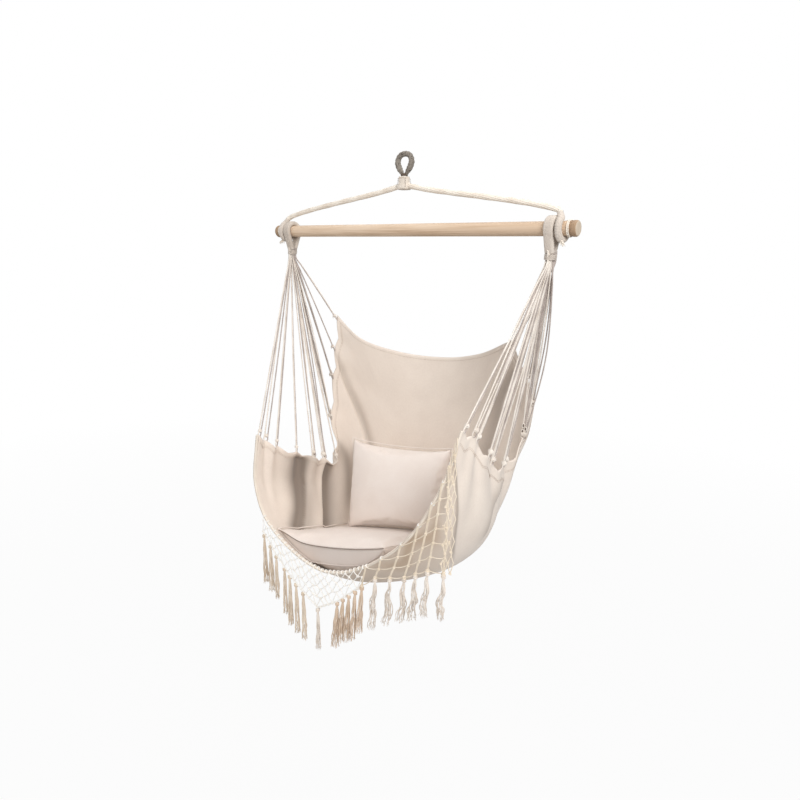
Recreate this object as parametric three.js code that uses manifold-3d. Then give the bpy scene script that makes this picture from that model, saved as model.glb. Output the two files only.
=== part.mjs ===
// Hanging hammock chair: a canvas sling on two fans of cords, slipped over a wooden bar,
// which two ropes and a served eye carry. Millimetres, +Z up, +X to the sitter's left-hand end
// of the bar, the sitter facing -Y. The origin is the hanging point, inside the top of the eye.
import * as THREE from 'three';
import { mergeVertices } from 'three/addons/utils/BufferGeometryUtils.js';
import Module from 'manifold-3d';

const wasm = await Module();
wasm.setup();

// Clearances
const touchGap = 0.3;
const slipGap = 0.4;
const weldGap = 0.0001;

// Hanging eye, a tear of served rope whose stem ends in a ball
const eyeRopeDiameter = 14;
const eyeFootRopeDiameter = 8.6;
const eyeWidth = 60;
const eyeHeight = 61;
const eyeFootSpread = 9.6;
const eyeStemDiameter = 16;
const eyeStemLength = 22;
const eyeSteps = 28;
const eyeSides = 8;

// Sleeve under the eye
const sleeveLength = 33;
const sleeveTopGap = 4;
const sleeveTopDiameter = 28;
const sleeveFootDiameter = 38;
const sleeveBallGap = 0.5;
const sleeveRim = 6;
const sleeveSides = 20;
const tiltAngle = 8;

// Bar
const hangToBar = 190;
const barLength = 1000;
const barDiameter = 34;
const barTipDiameter = 37;
const barTipLength = 14;
const barTipRounding = 5;
const barTipShoulder = 1.5;
const barSides = 32;

// Top ropes
const ropeDiameter = 14;
const ropeHeightAtSleeve = 116;
const ropeSeatDepth = 10;
const ropeHeightOverLoop = 40;
const ropeTurns = 0.8;
const ropeTurnPitch = 4;
const ropeTurnInset = 40;
const ropeTurnPlace = barLength / 2 - ropeTurnInset;
const ropeStartAngle = 25;
const ropeLoopGap = 8;
const ropeLegSteps = 10;

// Twine bound on the bar's ends
const twineDiameter = 2.6;
const twineTurnGap = 0.6;
const twineTurns = 2;

// Loops that slip over the bar, and the neck under each
const clewInset = 63;
const clewPlace = barLength / 2 - clewInset;
const clewLoopWidth = 25;
const clewLoopThickness = 13;
const clewLoopRounding = 2.5;
const clewLoopDrop = 56;
const clewHoleDrop = 40;
const clewSpreadAngle = 30;
const clewArcSteps = 20;
const neckDiameter = 24;
const neckLength = 26;
const neckSides = 12;
const whippingDiameter = 3;
const whippingTurnGap = 0.5;
const whippingTurns = 3;
const whippingDrop = 3;

// Suspension cords
const cordDiameter = 4;
const cordBightWidth = 14;
const cordBightHeight = 10;
const cordSides = 6;
const cordStationShares = [0.012, 0.1, 0.19, 0.28, 0.365, 0.435, 0.5, 0.66, 0.8, 0.89, 0.985];

// Canvas
const canvasHalfWidth = 360;
const canvasHalfDepth = 260;
const canvasDrop = 1000;
const canvasThickness = 2;
const canvasAcross = 20;
const canvasAlong = 27;

// Folds in the canvas below its side hems
const leftFoldDepth = 13;
const rightFoldDepth = 7;
const leftFoldCount = 5.5;
const rightFoldCount = 4;

// Sections of the canvas from its front lip to its top hem, each from the left hem to the right
// hem, as shares of the canvas's half width, half depth and drop
const canvasSectionShares = [
  [[-0.93, -0.9, 0.6], [-0.93, -0.94, 0.75], [-0.75, -0.96, 0.859], [-0.11, -0.96, 0.934],
    [0.575, -0.96, 0.79], [0.9, -0.94, 0.609], [1.01, -0.87, 0.455]],
  [[-0.97, -0.6, 0.65], [-0.975, -0.62, 0.79], [-0.75, -0.62, 0.925], [-0.06, -0.62, 0.985],
    [0.6, -0.62, 0.88], [0.935, -0.6, 0.7], [0.985, -0.55, 0.495]],
  [[-0.945, -0.12, 0.705], [-0.96, -0.12, 0.82], [-0.7, -0.1, 0.978], [0, -0.1, 1.0],
    [0.65, -0.1, 0.91], [0.93, -0.12, 0.77], [0.945, -0.15, 0.58]],
  [[-0.89, 0.33, 0.745], [-0.95, 0.35, 0.83], [-0.67, 0.4, 0.99], [0, 0.44, 0.985],
    [0.65, 0.42, 0.88], [0.82, 0.38, 0.79], [0.9, 0.33, 0.618]],
  [[-0.98, 0.36, 0.61], [-0.86, 0.66, 0.675], [-0.55, 0.76, 0.77], [0, 0.8, 0.81],
    [0.55, 0.78, 0.755], [0.85, 0.66, 0.645], [0.94, 0.55, 0.55]],
  [[-0.97, 0.38, 0.44], [-0.84, 0.68, 0.5], [-0.5, 0.86, 0.575], [0, 0.93, 0.6],
    [0.5, 0.89, 0.565], [0.92, 0.76, 0.49], [0.965, 0.6, 0.44]],
  [[-0.875, 0.31, 0.257], [-0.72, 0.51, 0.33], [-0.42, 0.81, 0.371], [0, 0.96, 0.375],
    [0.39, 0.83, 0.345], [0.736, 0.5, 0.295], [0.867, 0.32, 0.277]],
];

// Front edge rope
const hemRopeDiameter = 8;
const hemRopeSides = 8;

// Net
const netThickness = 3;
const netStrand = 4;
const netLeftCells = 12;
const netRowHeight = 19;
const netLeftShare = -0.8;
const netMiddleShare = 0.286;
const netRightShare = 1.02;
const netReach = 4;
const netLowerEdgeShares = [[-0.8, 0.885], [-0.64, 0.941], [-0.483, 0.986], [-0.323, 1.018],
  [-0.16, 1.047], [0.05, 0.998], [0.286, 0.92], [0.408, 0.881], [0.664, 0.848], [0.851, 0.806],
  [1.02, 0.8]];
const steepStringTopShares = [0.318, 0.453, 0.623, 0.759, 0.855, 0.924, 0.961];

// Tassels
const tasselLength = 122;
const tasselKnotDiameter = 11;
const tasselKnotHeight = 13;
const tasselWaistDiameter = 7;
const tasselSkirtDiameter = 16;
const tasselSides = 6;
const tasselPlaceShares = [-0.785, -0.71, -0.64, -0.541, -0.48, -0.405, -0.323, -0.16, 0.045,
  0.102, 0.16, 0.222, 0.286, 0.408, 0.539, 0.664, 0.755, 0.851, 0.965];
const tasselLengthShares = [1.28, 1.22, 1.14, 1.19, 1.29, 1.28, 1.22, 1.04, 1.16, 1.09, 1.16, 1.21,
  1.12, 1.2, 1.07, 1, 1.02, 1, 0.98];

// Seat cushion
const seatSideGap = 140;
const seatEndGap = 80;
const seatWidth = (canvasHalfWidth - seatSideGap) * 2;
const seatDepth = (canvasHalfDepth - seatEndGap) * 2;
const seatGusset = 36;
const seatCrown = 20;
const seatTopDrop = 900;
const seatMiddleShares = [-0.153, -0.2385];
const seatDrawIn = 14;
const seatRiseShare = 0.24;
const seatSlopeShare = -0.26;
const seatBendSoftness = 14;
const seatRoundShare = 0.08;
const seatPinchShare = 0.85;
const seatFrontSag = 14;
const cushionSteps = 11;

// Back cushion, its corners as shares of the canvas's half width, half depth and drop
const backCornerShares = {
  topLeft: [-0.68, 0.31, 0.65],
  topRight: [0.4, 0.38, 0.612],
  lowLeft: [-0.478, -0.077, 0.929],
  lowRight: [0.597, 0.04, 0.85],
};
const backCrown = 62;
const backDrawIn = 16;
const backRoundShare = 0.03;

const up = new THREE.Vector3(0, 0, 1);

// Turns a closed geometry into a solid that can be joined and cut
function toSolid(geometry) {
  const plain = geometry.clone();
  plain.deleteAttribute('normal');
  plain.deleteAttribute('uv');
  const merged = mergeVertices(plain, weldGap);
  const vertProperties = new Float32Array(merged.attributes.position.array);
  const triVerts = new Uint32Array(merged.index.array);
  return new wasm.Manifold(new wasm.Mesh({ numProp: 3, vertProperties, triVerts }));
}

function fromSolid(solid) {
  const mesh = solid.getMesh();
  const geometry = new THREE.BufferGeometry();
  geometry.setAttribute('position', new THREE.BufferAttribute(new Float32Array(mesh.vertProperties), 3));
  geometry.setIndex(new THREE.BufferAttribute(new Uint32Array(mesh.triVerts), 1));
  return geometry;
}

// Joins geometries, and fills any pocket that the joined pieces shut in
function join(geometries) {
  const whole = geometries.map(toSolid).reduce((sum, solid) => sum.add(solid));
  const shells = whole.decompose();
  return fromSolid(shells.reduce((most, shell) => (shell.volume() > most.volume() ? shell : most)));
}

function indexed(points, triangles) {
  const geometry = new THREE.BufferGeometry();
  const places = points.flatMap((p) => [p.x, p.y, p.z]);
  geometry.setAttribute('position', new THREE.Float32BufferAttribute(places, 3));
  geometry.setIndex(triangles);
  return geometry;
}

// Unbroken tube through points, one ring of sides at each, with flat ends
function sweep(points, radiusAt, sides) {
  const tangents = points.map((p, i) => {
    const before = points[Math.max(i - 1, 0)];
    const after = points[Math.min(i + 1, points.length - 1)];
    return after.clone().sub(before).normalize();
  });
  const across = new THREE.Vector3().crossVectors(tangents[0], Math.abs(tangents[0].z) > 0.9
    ? new THREE.Vector3(0, 1, 0) : up).normalize();
  const vertices = [];
  points.forEach((p, i) => {
    across.addScaledVector(tangents[i], -across.dot(tangents[i])).normalize();
    const other = new THREE.Vector3().crossVectors(tangents[i], across);
    const radius = radiusAt(i / (points.length - 1));
    for (let k = 0; k < sides; k += 1) {
      const angle = (2 * Math.PI * k) / sides;
      vertices.push(p.clone().addScaledVector(across, radius * Math.cos(angle))
        .addScaledVector(other, radius * Math.sin(angle)));
    }
  });
  const triangles = [];
  for (let i = 0; i < points.length - 1; i += 1) {
    for (let k = 0; k < sides; k += 1) {
      const a = i * sides + k;
      const b = i * sides + ((k + 1) % sides);
      triangles.push(a, b, b + sides, a, b + sides, a + sides);
    }
  }
  const last = (points.length - 1) * sides;
  for (let k = 1; k < sides - 1; k += 1) {
    triangles.push(0, k + 1, k);
    triangles.push(last, last + k, last + k + 1);
  }
  return indexed(vertices, triangles);
}

// Least distance of a wound tube's surface to itself, measured on points of its middle line
function leastGap(points, diameter) {
  const along = [0];
  points.forEach((p, i) => {
    if (i > 0) along.push(along[i - 1] + p.distanceTo(points[i - 1]));
  });
  let least = Infinity;
  for (let i = 0; i < points.length; i += 1) {
    for (let j = i + 1; j < points.length; j += 1) {
      if (along[j] - along[i] > 3 * diameter) least = Math.min(least, points[i].distanceTo(points[j]));
    }
  }
  return least - diameter;
}

function reportGap(name, points, diameter) {
  console.log(`${name}: least gap to itself ${leastGap(points, diameter).toFixed(2)} mm`);
}

function evenly(curve, steps) {
  return curve.getSpacedPoints(steps);
}

function turned(profile, sides) {
  const geometry = new THREE.LatheGeometry(profile.map(([r, z]) => new THREE.Vector2(r, z)), sides);
  geometry.rotateX(Math.PI / 2);
  return geometry;
}

// Helix about the bar's axis or about a vertical axis, as points
function helix(radius, turns, pitch, stepsPerTurn) {
  const count = Math.round(turns * stepsPerTurn);
  const points = [];
  for (let i = 0; i <= count; i += 1) {
    const angle = (2 * Math.PI * i) / stepsPerTurn;
    const height = (pitch * i) / stepsPerTurn;
    points.push(new THREE.Vector3(radius * Math.cos(angle), radius * Math.sin(angle), height));
  }
  return points;
}

const loopSteps = 24;
const loopSides = 6;
const eyeTop = eyeRopeDiameter / 2;
const eyeFoot = eyeRopeDiameter - eyeHeight;
const ballPlace = eyeFoot - eyeStemLength + eyeStemDiameter / 2;

// Served rope bent to a tear, on a short stem with a round end
function hangingEye() {
  const half = (eyeWidth - eyeRopeDiameter) / 2;
  const height = eyeTop - eyeFoot;
  const sideShares = [[0, 0], [0.7, 0.09], [1, 0.36], [0.8, 0.63], [0.42, 0.86]];
  const side = sideShares.map(([x, z]) => new THREE.Vector3(half * x, 0, eyeTop - height * z));
  side.push(new THREE.Vector3(eyeFootSpread / 2, 0, eyeFoot));
  const mirrored = side.slice(1).reverse().map((p) => new THREE.Vector3(-p.x, 0, p.z));
  const line = new THREE.CatmullRomCurve3([...mirrored, ...side]);
  const footShare = 0.25;
  const radiusAt = (t) => {
    const fromEnd = Math.min(t, 1 - t) / footShare;
    return THREE.MathUtils.lerp(eyeFootRopeDiameter, eyeRopeDiameter, Math.min(fromEnd, 1)) / 2;
  };
  const loop = sweep(evenly(line, eyeSteps), radiusAt, eyeSides);
  const radius = eyeStemDiameter / 2;
  const profile = [[0, ballPlace - radius]];
  const ballSteps = 5;
  for (let k = 1; k <= ballSteps; k += 1) {
    const angle = (Math.PI / 2) * (k / ballSteps);
    profile.push([radius * Math.sin(angle), ballPlace - radius * Math.cos(angle)]);
  }
  profile.push([radius, eyeFoot], [eyeFootSpread / 2, eyeFoot + radius], [0, eyeFoot + radius]);
  return join([loop, turned(profile, sleeveSides)]);
}

const sleeveTop = hangToBar + eyeFoot - sleeveTopGap;
const sleeveFoot = sleeveTop - sleeveLength;

// Sewn sleeve: a cup round the eye's ball, with a seat for each rope in its foot
function eyeSleeve() {
  const ball = hangToBar + ballPlace;
  const inner = (eyeStemDiameter / 2 + sleeveBallGap) / Math.cos(Math.PI / sleeveSides);
  const mouth = inner + (sleeveTop - ball + sleeveRim) * Math.tan(THREE.MathUtils.degToRad(tiltAngle));
  const profile = [[0, sleeveFoot], [sleeveFootDiameter / 2, sleeveFoot],
    [sleeveTopDiameter / 2, sleeveTop], [mouth, sleeveTop]];
  const cupSteps = 5;
  for (let k = 0; k <= cupSteps; k += 1) {
    const angle = (Math.PI / 2) * (k / cupSteps);
    profile.push([inner * Math.cos(angle), ball - inner * Math.sin(angle)]);
  }
  const cup = toSolid(turned(profile, sleeveSides));
  const seats = [-1, 1].map((side) => {
    const points = ropeLine(side, ropeSeatDepth - touchGap).slice(0, ropeLegSteps);
    return toSolid(sweep(points, () => ropeDiameter / 2 + touchGap, loopSides * 2));
  });
  return fromSolid(cup.subtract(seats[0]).subtract(seats[1]));
}

// Middle line of a top rope: out of the sleeve, over the clew loop and round the bar
function ropeLine(side, seat) {
  const turnRadius = (barDiameter + ropeDiameter) / 2 + touchGap;
  const startAngle = THREE.MathUtils.degToRad(ropeStartAngle);
  const slope = (ropeHeightAtSleeve - ropeHeightOverLoop) / (clewPlace + ropeDiameter);
  const aboveTurn = turnRadius + ropeDiameter * 0.7;
  const nearSleeve = sleeveFootDiameter * 2;
  const besideLoop = clewPlace - clewLoopWidth * 2;
  const leg = [new THREE.Vector3(seat, 0, ropeHeightAtSleeve),
    new THREE.Vector3(nearSleeve, 0, ropeHeightAtSleeve - nearSleeve * slope),
    new THREE.Vector3(besideLoop, 0, ropeHeightOverLoop + (clewPlace - besideLoop) * slope + ropeLoopGap),
    new THREE.Vector3(clewPlace + ropeDiameter, 0, ropeHeightOverLoop),
    new THREE.Vector3(ropeTurnPlace - ropeDiameter * 0.42, -ropeDiameter * 0.25, aboveTurn)];
  const place = (angle) => new THREE.Vector3(
    ropeTurnPlace + (ropeTurnPitch * (angle - startAngle)) / (2 * Math.PI),
    -turnRadius * Math.sin(angle), turnRadius * Math.cos(angle));
  const legLine = new THREE.CatmullRomCurve3([...leg, place(startAngle), place(startAngle * 2)]);
  const total = leg.length + 1;
  const points = [];
  for (let i = 0; i < ropeLegSteps; i += 1) {
    points.push(legLine.getPoint(((i / ropeLegSteps) * leg.length) / total));
  }
  const bends = 5;
  for (let i = 1; i <= bends; i += 1) {
    const from = ((ropeLegSteps - 1) / ropeLegSteps) * leg.length;
    points.push(legLine.getPoint((from + ((leg.length - from) * i) / (bends + 1)) / total));
  }
  const steps = Math.round(ropeTurns * loopSteps);
  for (let i = 0; i <= steps; i += 1) points.push(place(startAngle + (2 * Math.PI * i) / loopSteps));
  return points.map((p) => new THREE.Vector3(p.x * side, p.y, p.z));
}

function topRope(side) {
  const points = ropeLine(side, ropeSeatDepth);
  reportGap('top rope', points, ropeDiameter);
  return sweep(points, () => ropeDiameter / 2, loopSides);
}

// Dowel with a slight shoulder and a rounded tip at each end
function spreaderBar() {
  const radius = barDiameter / 2;
  const tip = barTipDiameter / 2;
  const half = barLength / 2;
  const shoulder = half - barTipLength;
  const rounding = barTipRounding;
  const right = [[radius, shoulder], [tip, shoulder + barTipShoulder], [tip, half - rounding],
    [tip - rounding * 0.3, half - rounding * 0.3], [tip - rounding, half]];
  const left = right.map(([r, z]) => [r, -z]).reverse();
  const geometry = turned([[0, -half], ...left, ...right, [0, half]], barSides);
  geometry.rotateY(Math.PI / 2);
  return geometry;
}

function barTwine(side) {
  const pitch = twineDiameter + twineTurnGap;
  const points = helix((barDiameter + twineDiameter) / 2 + touchGap, twineTurns, pitch, loopSteps);
  reportGap('bar twine', points, twineDiameter);
  const geometry = sweep(points, () => twineDiameter / 2, loopSides);
  geometry.rotateY(Math.PI / 2);
  const place = barLength / 2 - barTipLength - twineDiameter / 2 - touchGap - twineTurns * pitch;
  geometry.translate(place, 0, 0);
  if (side < 0) geometry.rotateZ(Math.PI);
  return geometry;
}

function arcPoints(radius, from, to, steps) {
  const points = [];
  for (let i = 0; i <= steps; i += 1) {
    const angle = from + ((to - from) * i) / steps;
    points.push(new THREE.Vector2(radius * Math.cos(angle), radius * Math.sin(angle)));
  }
  return points;
}

// Served loop over the bar: a tear-shaped band with a tear-shaped hole
function clewLoop() {
  const inner = (barDiameter / 2 + slipGap) / Math.cos(Math.PI / clewArcSteps);
  const outer = inner + clewLoopThickness;
  const spread = THREE.MathUtils.degToRad(clewSpreadAngle);
  const neck = neckDiameter / 2;
  const outline = [...arcPoints(outer, -spread, Math.PI + spread, clewArcSteps),
    new THREE.Vector2(-neck, -clewLoopDrop), new THREE.Vector2(neck, -clewLoopDrop)];
  const hole = [...arcPoints(inner, -spread, Math.PI + spread, clewArcSteps),
    new THREE.Vector2(0, -clewHoleDrop)];
  const shape = new THREE.Shape(outline);
  shape.holes.push(new THREE.Path(hole));
  const geometry = new THREE.ExtrudeGeometry(shape, {
    depth: clewLoopWidth - 2 * clewLoopRounding,
    bevelThickness: clewLoopRounding,
    bevelSize: clewLoopRounding,
    bevelOffset: -clewLoopRounding,
    bevelSegments: 1,
  });
  const turn = new THREE.Matrix4().makeBasis(new THREE.Vector3(0, 1, 0), up, new THREE.Vector3(1, 0, 0));
  geometry.applyMatrix4(turn);
  geometry.translate(-clewLoopWidth / 2 + clewLoopRounding, 0, 0);
  return geometry;
}

function clewWhipping() {
  const pitch = whippingDiameter + whippingTurnGap;
  const radius = (neckDiameter + whippingDiameter) / 2 + touchGap;
  const points = helix(radius, whippingTurns, -pitch, loopSteps);
  reportGap('clew whipping', points, whippingDiameter);
  const geometry = sweep(points, () => whippingDiameter / 2, loopSides);
  geometry.translate(0, 0, -clewLoopDrop - whippingDrop);
  return geometry;
}

const sectionCurves = canvasSectionShares.map((section) => new THREE.CatmullRomCurve3(
  section.map(([x, y, z]) => new THREE.Vector3(x * canvasHalfWidth, y * canvasHalfDepth, -z * canvasDrop)),
));

// Height of the folds at a place on the canvas, greatest at the side hems
function foldHeight(u, v) {
  const edge = Math.min(u, 1 - u);
  const reachShare = 0.34;
  const fade = Math.max(1 - edge / reachShare, 0);
  const front = THREE.MathUtils.smoothstep(v, 0.02, 0.12) * (1 - THREE.MathUtils.smoothstep(v, 0.52, 0.66));
  const depth = u < 0.5 ? leftFoldDepth : rightFoldDepth;
  const count = u < 0.5 ? leftFoldCount : rightFoldCount;
  return depth * fade * fade * front * Math.sin(2 * Math.PI * count * v * 1.6);
}

function smoothCanvas(u, v) {
  const across = THREE.MathUtils.clamp(u, 0, 1);
  const line = new THREE.CatmullRomCurve3(sectionCurves.map((curve) => curve.getPoint(across)));
  return line.getPoint(THREE.MathUtils.clamp(v, 0, 1));
}

function canvasNormal(u, v) {
  const stepShare = 0.004;
  const du = smoothCanvas(u + stepShare, v).sub(smoothCanvas(u - stepShare, v));
  const dv = smoothCanvas(u, v + stepShare).sub(smoothCanvas(u, v - stepShare));
  return du.cross(dv).normalize();
}

function canvasPoint(u, v) {
  return smoothCanvas(u, v).addScaledVector(canvasNormal(u, v), foldHeight(u, v));
}

// Direction along the canvas from one place to another
function canvasWay(fromU, fromV, toU, toV) {
  return canvasPoint(toU, toV).sub(canvasPoint(fromU, fromV)).normalize();
}

const canvasStepShare = 0.01;

// Direction out of the canvas, square to its edge, from an edge that runs along the given way
function outward(way, edge) {
  return way.addScaledVector(edge, -way.dot(edge)).normalize();
}

// Closed body between two grids of points that share a rim
function slab(top, bottom, across, along) {
  const points = [...top, ...bottom];
  const below = top.length;
  const at = (i, j) => j * (across + 1) + i;
  const triangles = [];
  for (let j = 0; j < along; j += 1) {
    for (let i = 0; i < across; i += 1) {
      const [a, b, c, d] = [at(i, j), at(i + 1, j), at(i + 1, j + 1), at(i, j + 1)];
      triangles.push(a, b, c, a, c, d);
      triangles.push(below + a, below + c, below + b, below + a, below + d, below + c);
    }
  }
  const rim = [];
  for (let i = 0; i < across; i += 1) rim.push(at(i, 0));
  for (let j = 0; j < along; j += 1) rim.push(at(across, j));
  for (let i = across; i > 0; i -= 1) rim.push(at(i, along));
  for (let j = along; j > 0; j -= 1) rim.push(at(0, j));
  rim.forEach((a, k) => {
    const b = rim[(k + 1) % rim.length];
    triangles.push(a, below + a, below + b, a, below + b, b);
  });
  return indexed(points, triangles);
}

function canvasGrid() {
  const grid = [];
  for (let j = 0; j <= canvasAlong; j += 1) {
    for (let i = 0; i <= canvasAcross; i += 1) {
      const [u, v] = [i / canvasAcross, j / canvasAlong];
      grid.push({ point: canvasPoint(u, v), normal: canvasNormal(u, v) });
    }
  }
  return grid;
}

const grid = canvasGrid();
const canvasFace = (amount) => grid
  .map(({ point, normal }) => point.clone().addScaledVector(normal, amount));
const canvasInside = canvasFace(canvasThickness / 2);
const canvasOutside = canvasFace(-canvasThickness / 2);

function canvas() {
  return slab(canvasInside, canvasOutside, canvasAcross, canvasAlong);
}

function gridTriangles(across, along) {
  const triangles = [];
  for (let j = 0; j < along; j += 1) {
    for (let i = 0; i < across; i += 1) {
      const a = j * (across + 1) + i;
      const far = a + across + 1;
      triangles.push([a, a + 1, far + 1], [a, far + 1, far]);
    }
  }
  return triangles;
}

// Distance from a point along a direction to a surface
function distanceTo(points, triangles, from, direction) {
  const ray = new THREE.Ray(from, direction);
  const hit = new THREE.Vector3();
  let least = Infinity;
  triangles.forEach((corners) => {
    const [a, b, c] = corners.map((k) => points[k]);
    if (ray.intersectTriangle(a, b, c, false, hit)) least = Math.min(least, hit.distanceTo(from));
  });
  return least;
}

const insideTriangles = gridTriangles(canvasAcross, canvasAlong);
const distanceToCanvas = (from, direction) => distanceTo(canvasInside, insideTriangles, from, direction);

// Cords of one side: each loop runs down to the hem, through a bight and back up to the neck
function suspensionCords(side) {
  const u = side < 0 ? 0 : 1;
  const neckTop = -clewLoopDrop - touchGap;
  const neckFoot = neckTop - neckLength;
  const neck = turned([[0, neckFoot], [neckDiameter / 2 - cordDiameter / 2, neckFoot],
    [neckDiameter / 2, neckFoot + cordDiameter], [neckDiameter / 2, neckTop], [0, neckTop]], neckSides);
  neck.translate(side * clewPlace, 0, 0);
  const start = new THREE.Vector3(side * clewPlace, 0, neckFoot + cordDiameter);
  const radius = cordDiameter / 2;
  const reach = neckDiameter / 2 - cordDiameter;
  const loops = cordStationShares.map((v) => {
    const hem = canvasPoint(u, v);
    const along = canvasWay(u, v - canvasStepShare, u, v + canvasStepShare);
    const away = outward(canvasWay(u - side * canvasStepShare, v, u, v), along);
    const toNeck = start.clone().sub(hem).normalize();
    along.addScaledVector(toNeck, -along.dot(toNeck));
    const square = new THREE.Vector3().crossVectors(toNeck, away);
    if (square.length() > along.length()) along.copy(square);
    along.normalize();
    const low = hem.clone().addScaledVector(away, radius + canvasThickness / 2 + 2 * touchGap);
    const half = cordBightWidth / 2;
    const leg = (sign) => {
      const lower = [[1, 1], [0.93, 0.5], [0.55, 0.12]].map(([out, rise]) => low.clone()
        .addScaledVector(along, sign * half * out).addScaledVector(toNeck, cordBightHeight * rise));
      const spread = hem.clone().sub(start).setZ(0).normalize().multiplyScalar(reach * (0.3 + 0.6 * v));
      return [start.clone().add(spread).addScaledVector(along, sign * cordDiameter * 0.6), ...lower];
    };
    return sweep([...leg(-1), low, ...leg(1).reverse()], () => radius, cordSides);
  });
  return join([neck, ...loops]);
}

// Middle line of the front edge rope, beside each corner of the canvas's front edge
const hemRopeLine = [];
for (let i = 0; i <= canvasAcross; i += 1) {
  const u = i / canvasAcross;
  const edge = canvasWay(u - canvasStepShare, 0, u + canvasStepShare, 0);
  const out = outward(canvasWay(u, canvasStepShare, u, 0), edge);
  const offset = hemRopeDiameter / 2 / Math.cos(Math.PI / hemRopeSides) + touchGap;
  hemRopeLine.push(canvasPoint(u, 0).addScaledVector(out, offset));
}

function frontEdgeRope() {
  return sweep(hemRopeLine, () => hemRopeDiameter / 2, hemRopeSides);
}

// Straight runs through points [x, value], in the sizes that their shares follow
function alongLine(points, x) {
  const last = points.length - 1;
  if (x <= points[0][0]) return points[0][1];
  for (let i = 0; i < last; i += 1) {
    const [[x0, y0], [x1, y1]] = [points[i], points[i + 1]];
    if (x <= x1) return y0 + ((y1 - y0) * (x - x0)) / (x1 - x0);
  }
  return points[last][1];
}

const hemProfile = hemRopeLine.filter((p, i) => hemRopeLine.slice(i + 1).every((q) => q.x > p.x));
const hemHeights = hemProfile.map((p) => [p.x, p.z]);
const hemFronts = hemProfile.map((p, i) => [p.x, Math.min(...hemProfile.slice(Math.max(i - 1, 0), i + 2)
  .map((q) => q.y))]);
const netEdge = netLowerEdgeShares.map(([x, z]) => [x * canvasHalfWidth, -z * canvasDrop]);
const netHalfCell = ((netMiddleShare - netLeftShare) * canvasHalfWidth) / netLeftCells / 2;

const netX = (i) => netLeftShare * canvasHalfWidth + i * netHalfCell;
const netTop = (x) => alongLine(hemHeights, x) - hemRopeDiameter / 2 + netReach - netStrand / 2;

function netNode(i, j) {
  const x = netX(i);
  return new THREE.Vector2(x, Math.min(alongLine(netEdge, x) + j * netRowHeight, netTop(x)));
}

// Knots of the net's right part: steep string m runs from the hem to a tassel, over m + 1 rows
function steepNode(m, row) {
  const x = steepStringTopShares[m] * canvasHalfWidth;
  const low = tasselPlaceShares[netLeftCells + m] * canvasHalfWidth;
  const top = new THREE.Vector2(x, netTop(x));
  return top.lerp(new THREE.Vector2(low, alongLine(netEdge, low)), row / (m + 1));
}

// Polygon with each edge moved inwards by half a strand, or nothing where it closes up
function inset(corners, amount) {
  const moved = corners.map((p, i) => {
    const before = corners[(i + corners.length - 1) % corners.length];
    const after = corners[(i + 1) % corners.length];
    const a = p.clone().sub(before).normalize();
    const b = after.clone().sub(p).normalize();
    const normalA = new THREE.Vector2(-a.y, a.x);
    const normalB = new THREE.Vector2(-b.y, b.x);
    const bisector = normalA.clone().add(normalB).normalize();
    return p.clone().addScaledVector(bisector, amount / Math.max(bisector.dot(normalA), 0.3));
  });
  const turnsSame = moved.every((p, i) => {
    const next = moved[(i + 1) % moved.length];
    const afterNext = moved[(i + 2) % moved.length];
    const edge = next.clone().sub(p);
    return edge.cross(afterNext.clone().sub(next)) > 0 && edge.dot(corners[(i + 1) % corners.length].clone()
      .sub(corners[i])) > 0;
  });
  return turnsSame ? moved : null;
}

// Knotted net: a sheet of strands with a hole in each mesh, hung from the front edge rope
function macrameNet() {
  const columns = netLeftCells * 2;
  const strand = netStrand / 2;
  const places = netEdge.map(([x]) => x);
  for (let i = 1; i < columns; i += 1) places.push(netX(i));
  steepStringTopShares.forEach((share) => places.push(share * canvasHalfWidth));
  places.sort((a, b) => a - b);
  const lower = places.map((x) => new THREE.Vector2(x, alongLine(netEdge, x) - strand));
  const upper = places.map((x) => new THREE.Vector2(x, netTop(x) + strand));
  const shape = new THREE.Shape([...lower, ...upper.reverse()]);
  const rows = Math.ceil((canvasDrop * 0.4) / netRowHeight);
  const addHole = (corners) => {
    const hole = inset(corners, strand);
    if (hole) shape.holes.push(new THREE.Path(hole));
  };
  for (let i = 1; i < columns; i += 1) {
    for (let j = 1; j < rows; j += 1) {
      if ((i + j) % 2 === 0) continue;
      const low = netNode(i, j - 1);
      const top = netNode(i, j + 1);
      if (top.y - low.y < netRowHeight * 0.8) continue;
      addHole([low, netNode(i + 1, j), top, netNode(i - 1, j)]);
    }
  }
  for (let m = 1; m < steepStringTopShares.length; m += 1) {
    for (let row = 1; row <= m; row += 1) {
      addHole([steepNode(m - 1, row), steepNode(m, row + 1), steepNode(m, row), steepNode(m - 1, row - 1)]);
    }
  }
  console.log(`macrame net: ${shape.holes.length} gaps`);
  const geometry = new THREE.ExtrudeGeometry(shape, { depth: netThickness, bevelEnabled: false });
  const place = geometry.attributes.position;
  const front = hemRopeDiameter / 2 + touchGap;
  for (let k = 0; k < place.count; k += 1) {
    const [x, z, deep] = [place.getX(k), place.getY(k), place.getZ(k)];
    place.setXYZ(k, x, alongLine(hemFronts, x) - front - deep, z);
  }
  return geometry;
}

function tassel(index) {
  const x = tasselPlaceShares[index] * canvasHalfWidth;
  const length = tasselLength * tasselLengthShares[index];
  const knot = tasselKnotDiameter / 2;
  const geometry = turned([[0, -length], [tasselSkirtDiameter * 0.4, -length],
    [tasselSkirtDiameter / 2, -length * 0.8], [tasselWaistDiameter / 2, -tasselKnotHeight],
    [knot, -tasselKnotHeight * 0.7], [knot, -tasselKnotHeight * 0.5], [0, 0]], tasselSides);
  const y = alongLine(hemFronts, x) - hemRopeDiameter / 2 - touchGap - netThickness / 2;
  geometry.translate(x, y, alongLine(netEdge, x) - netStrand / 2 - touchGap);
  return geometry;
}

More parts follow.
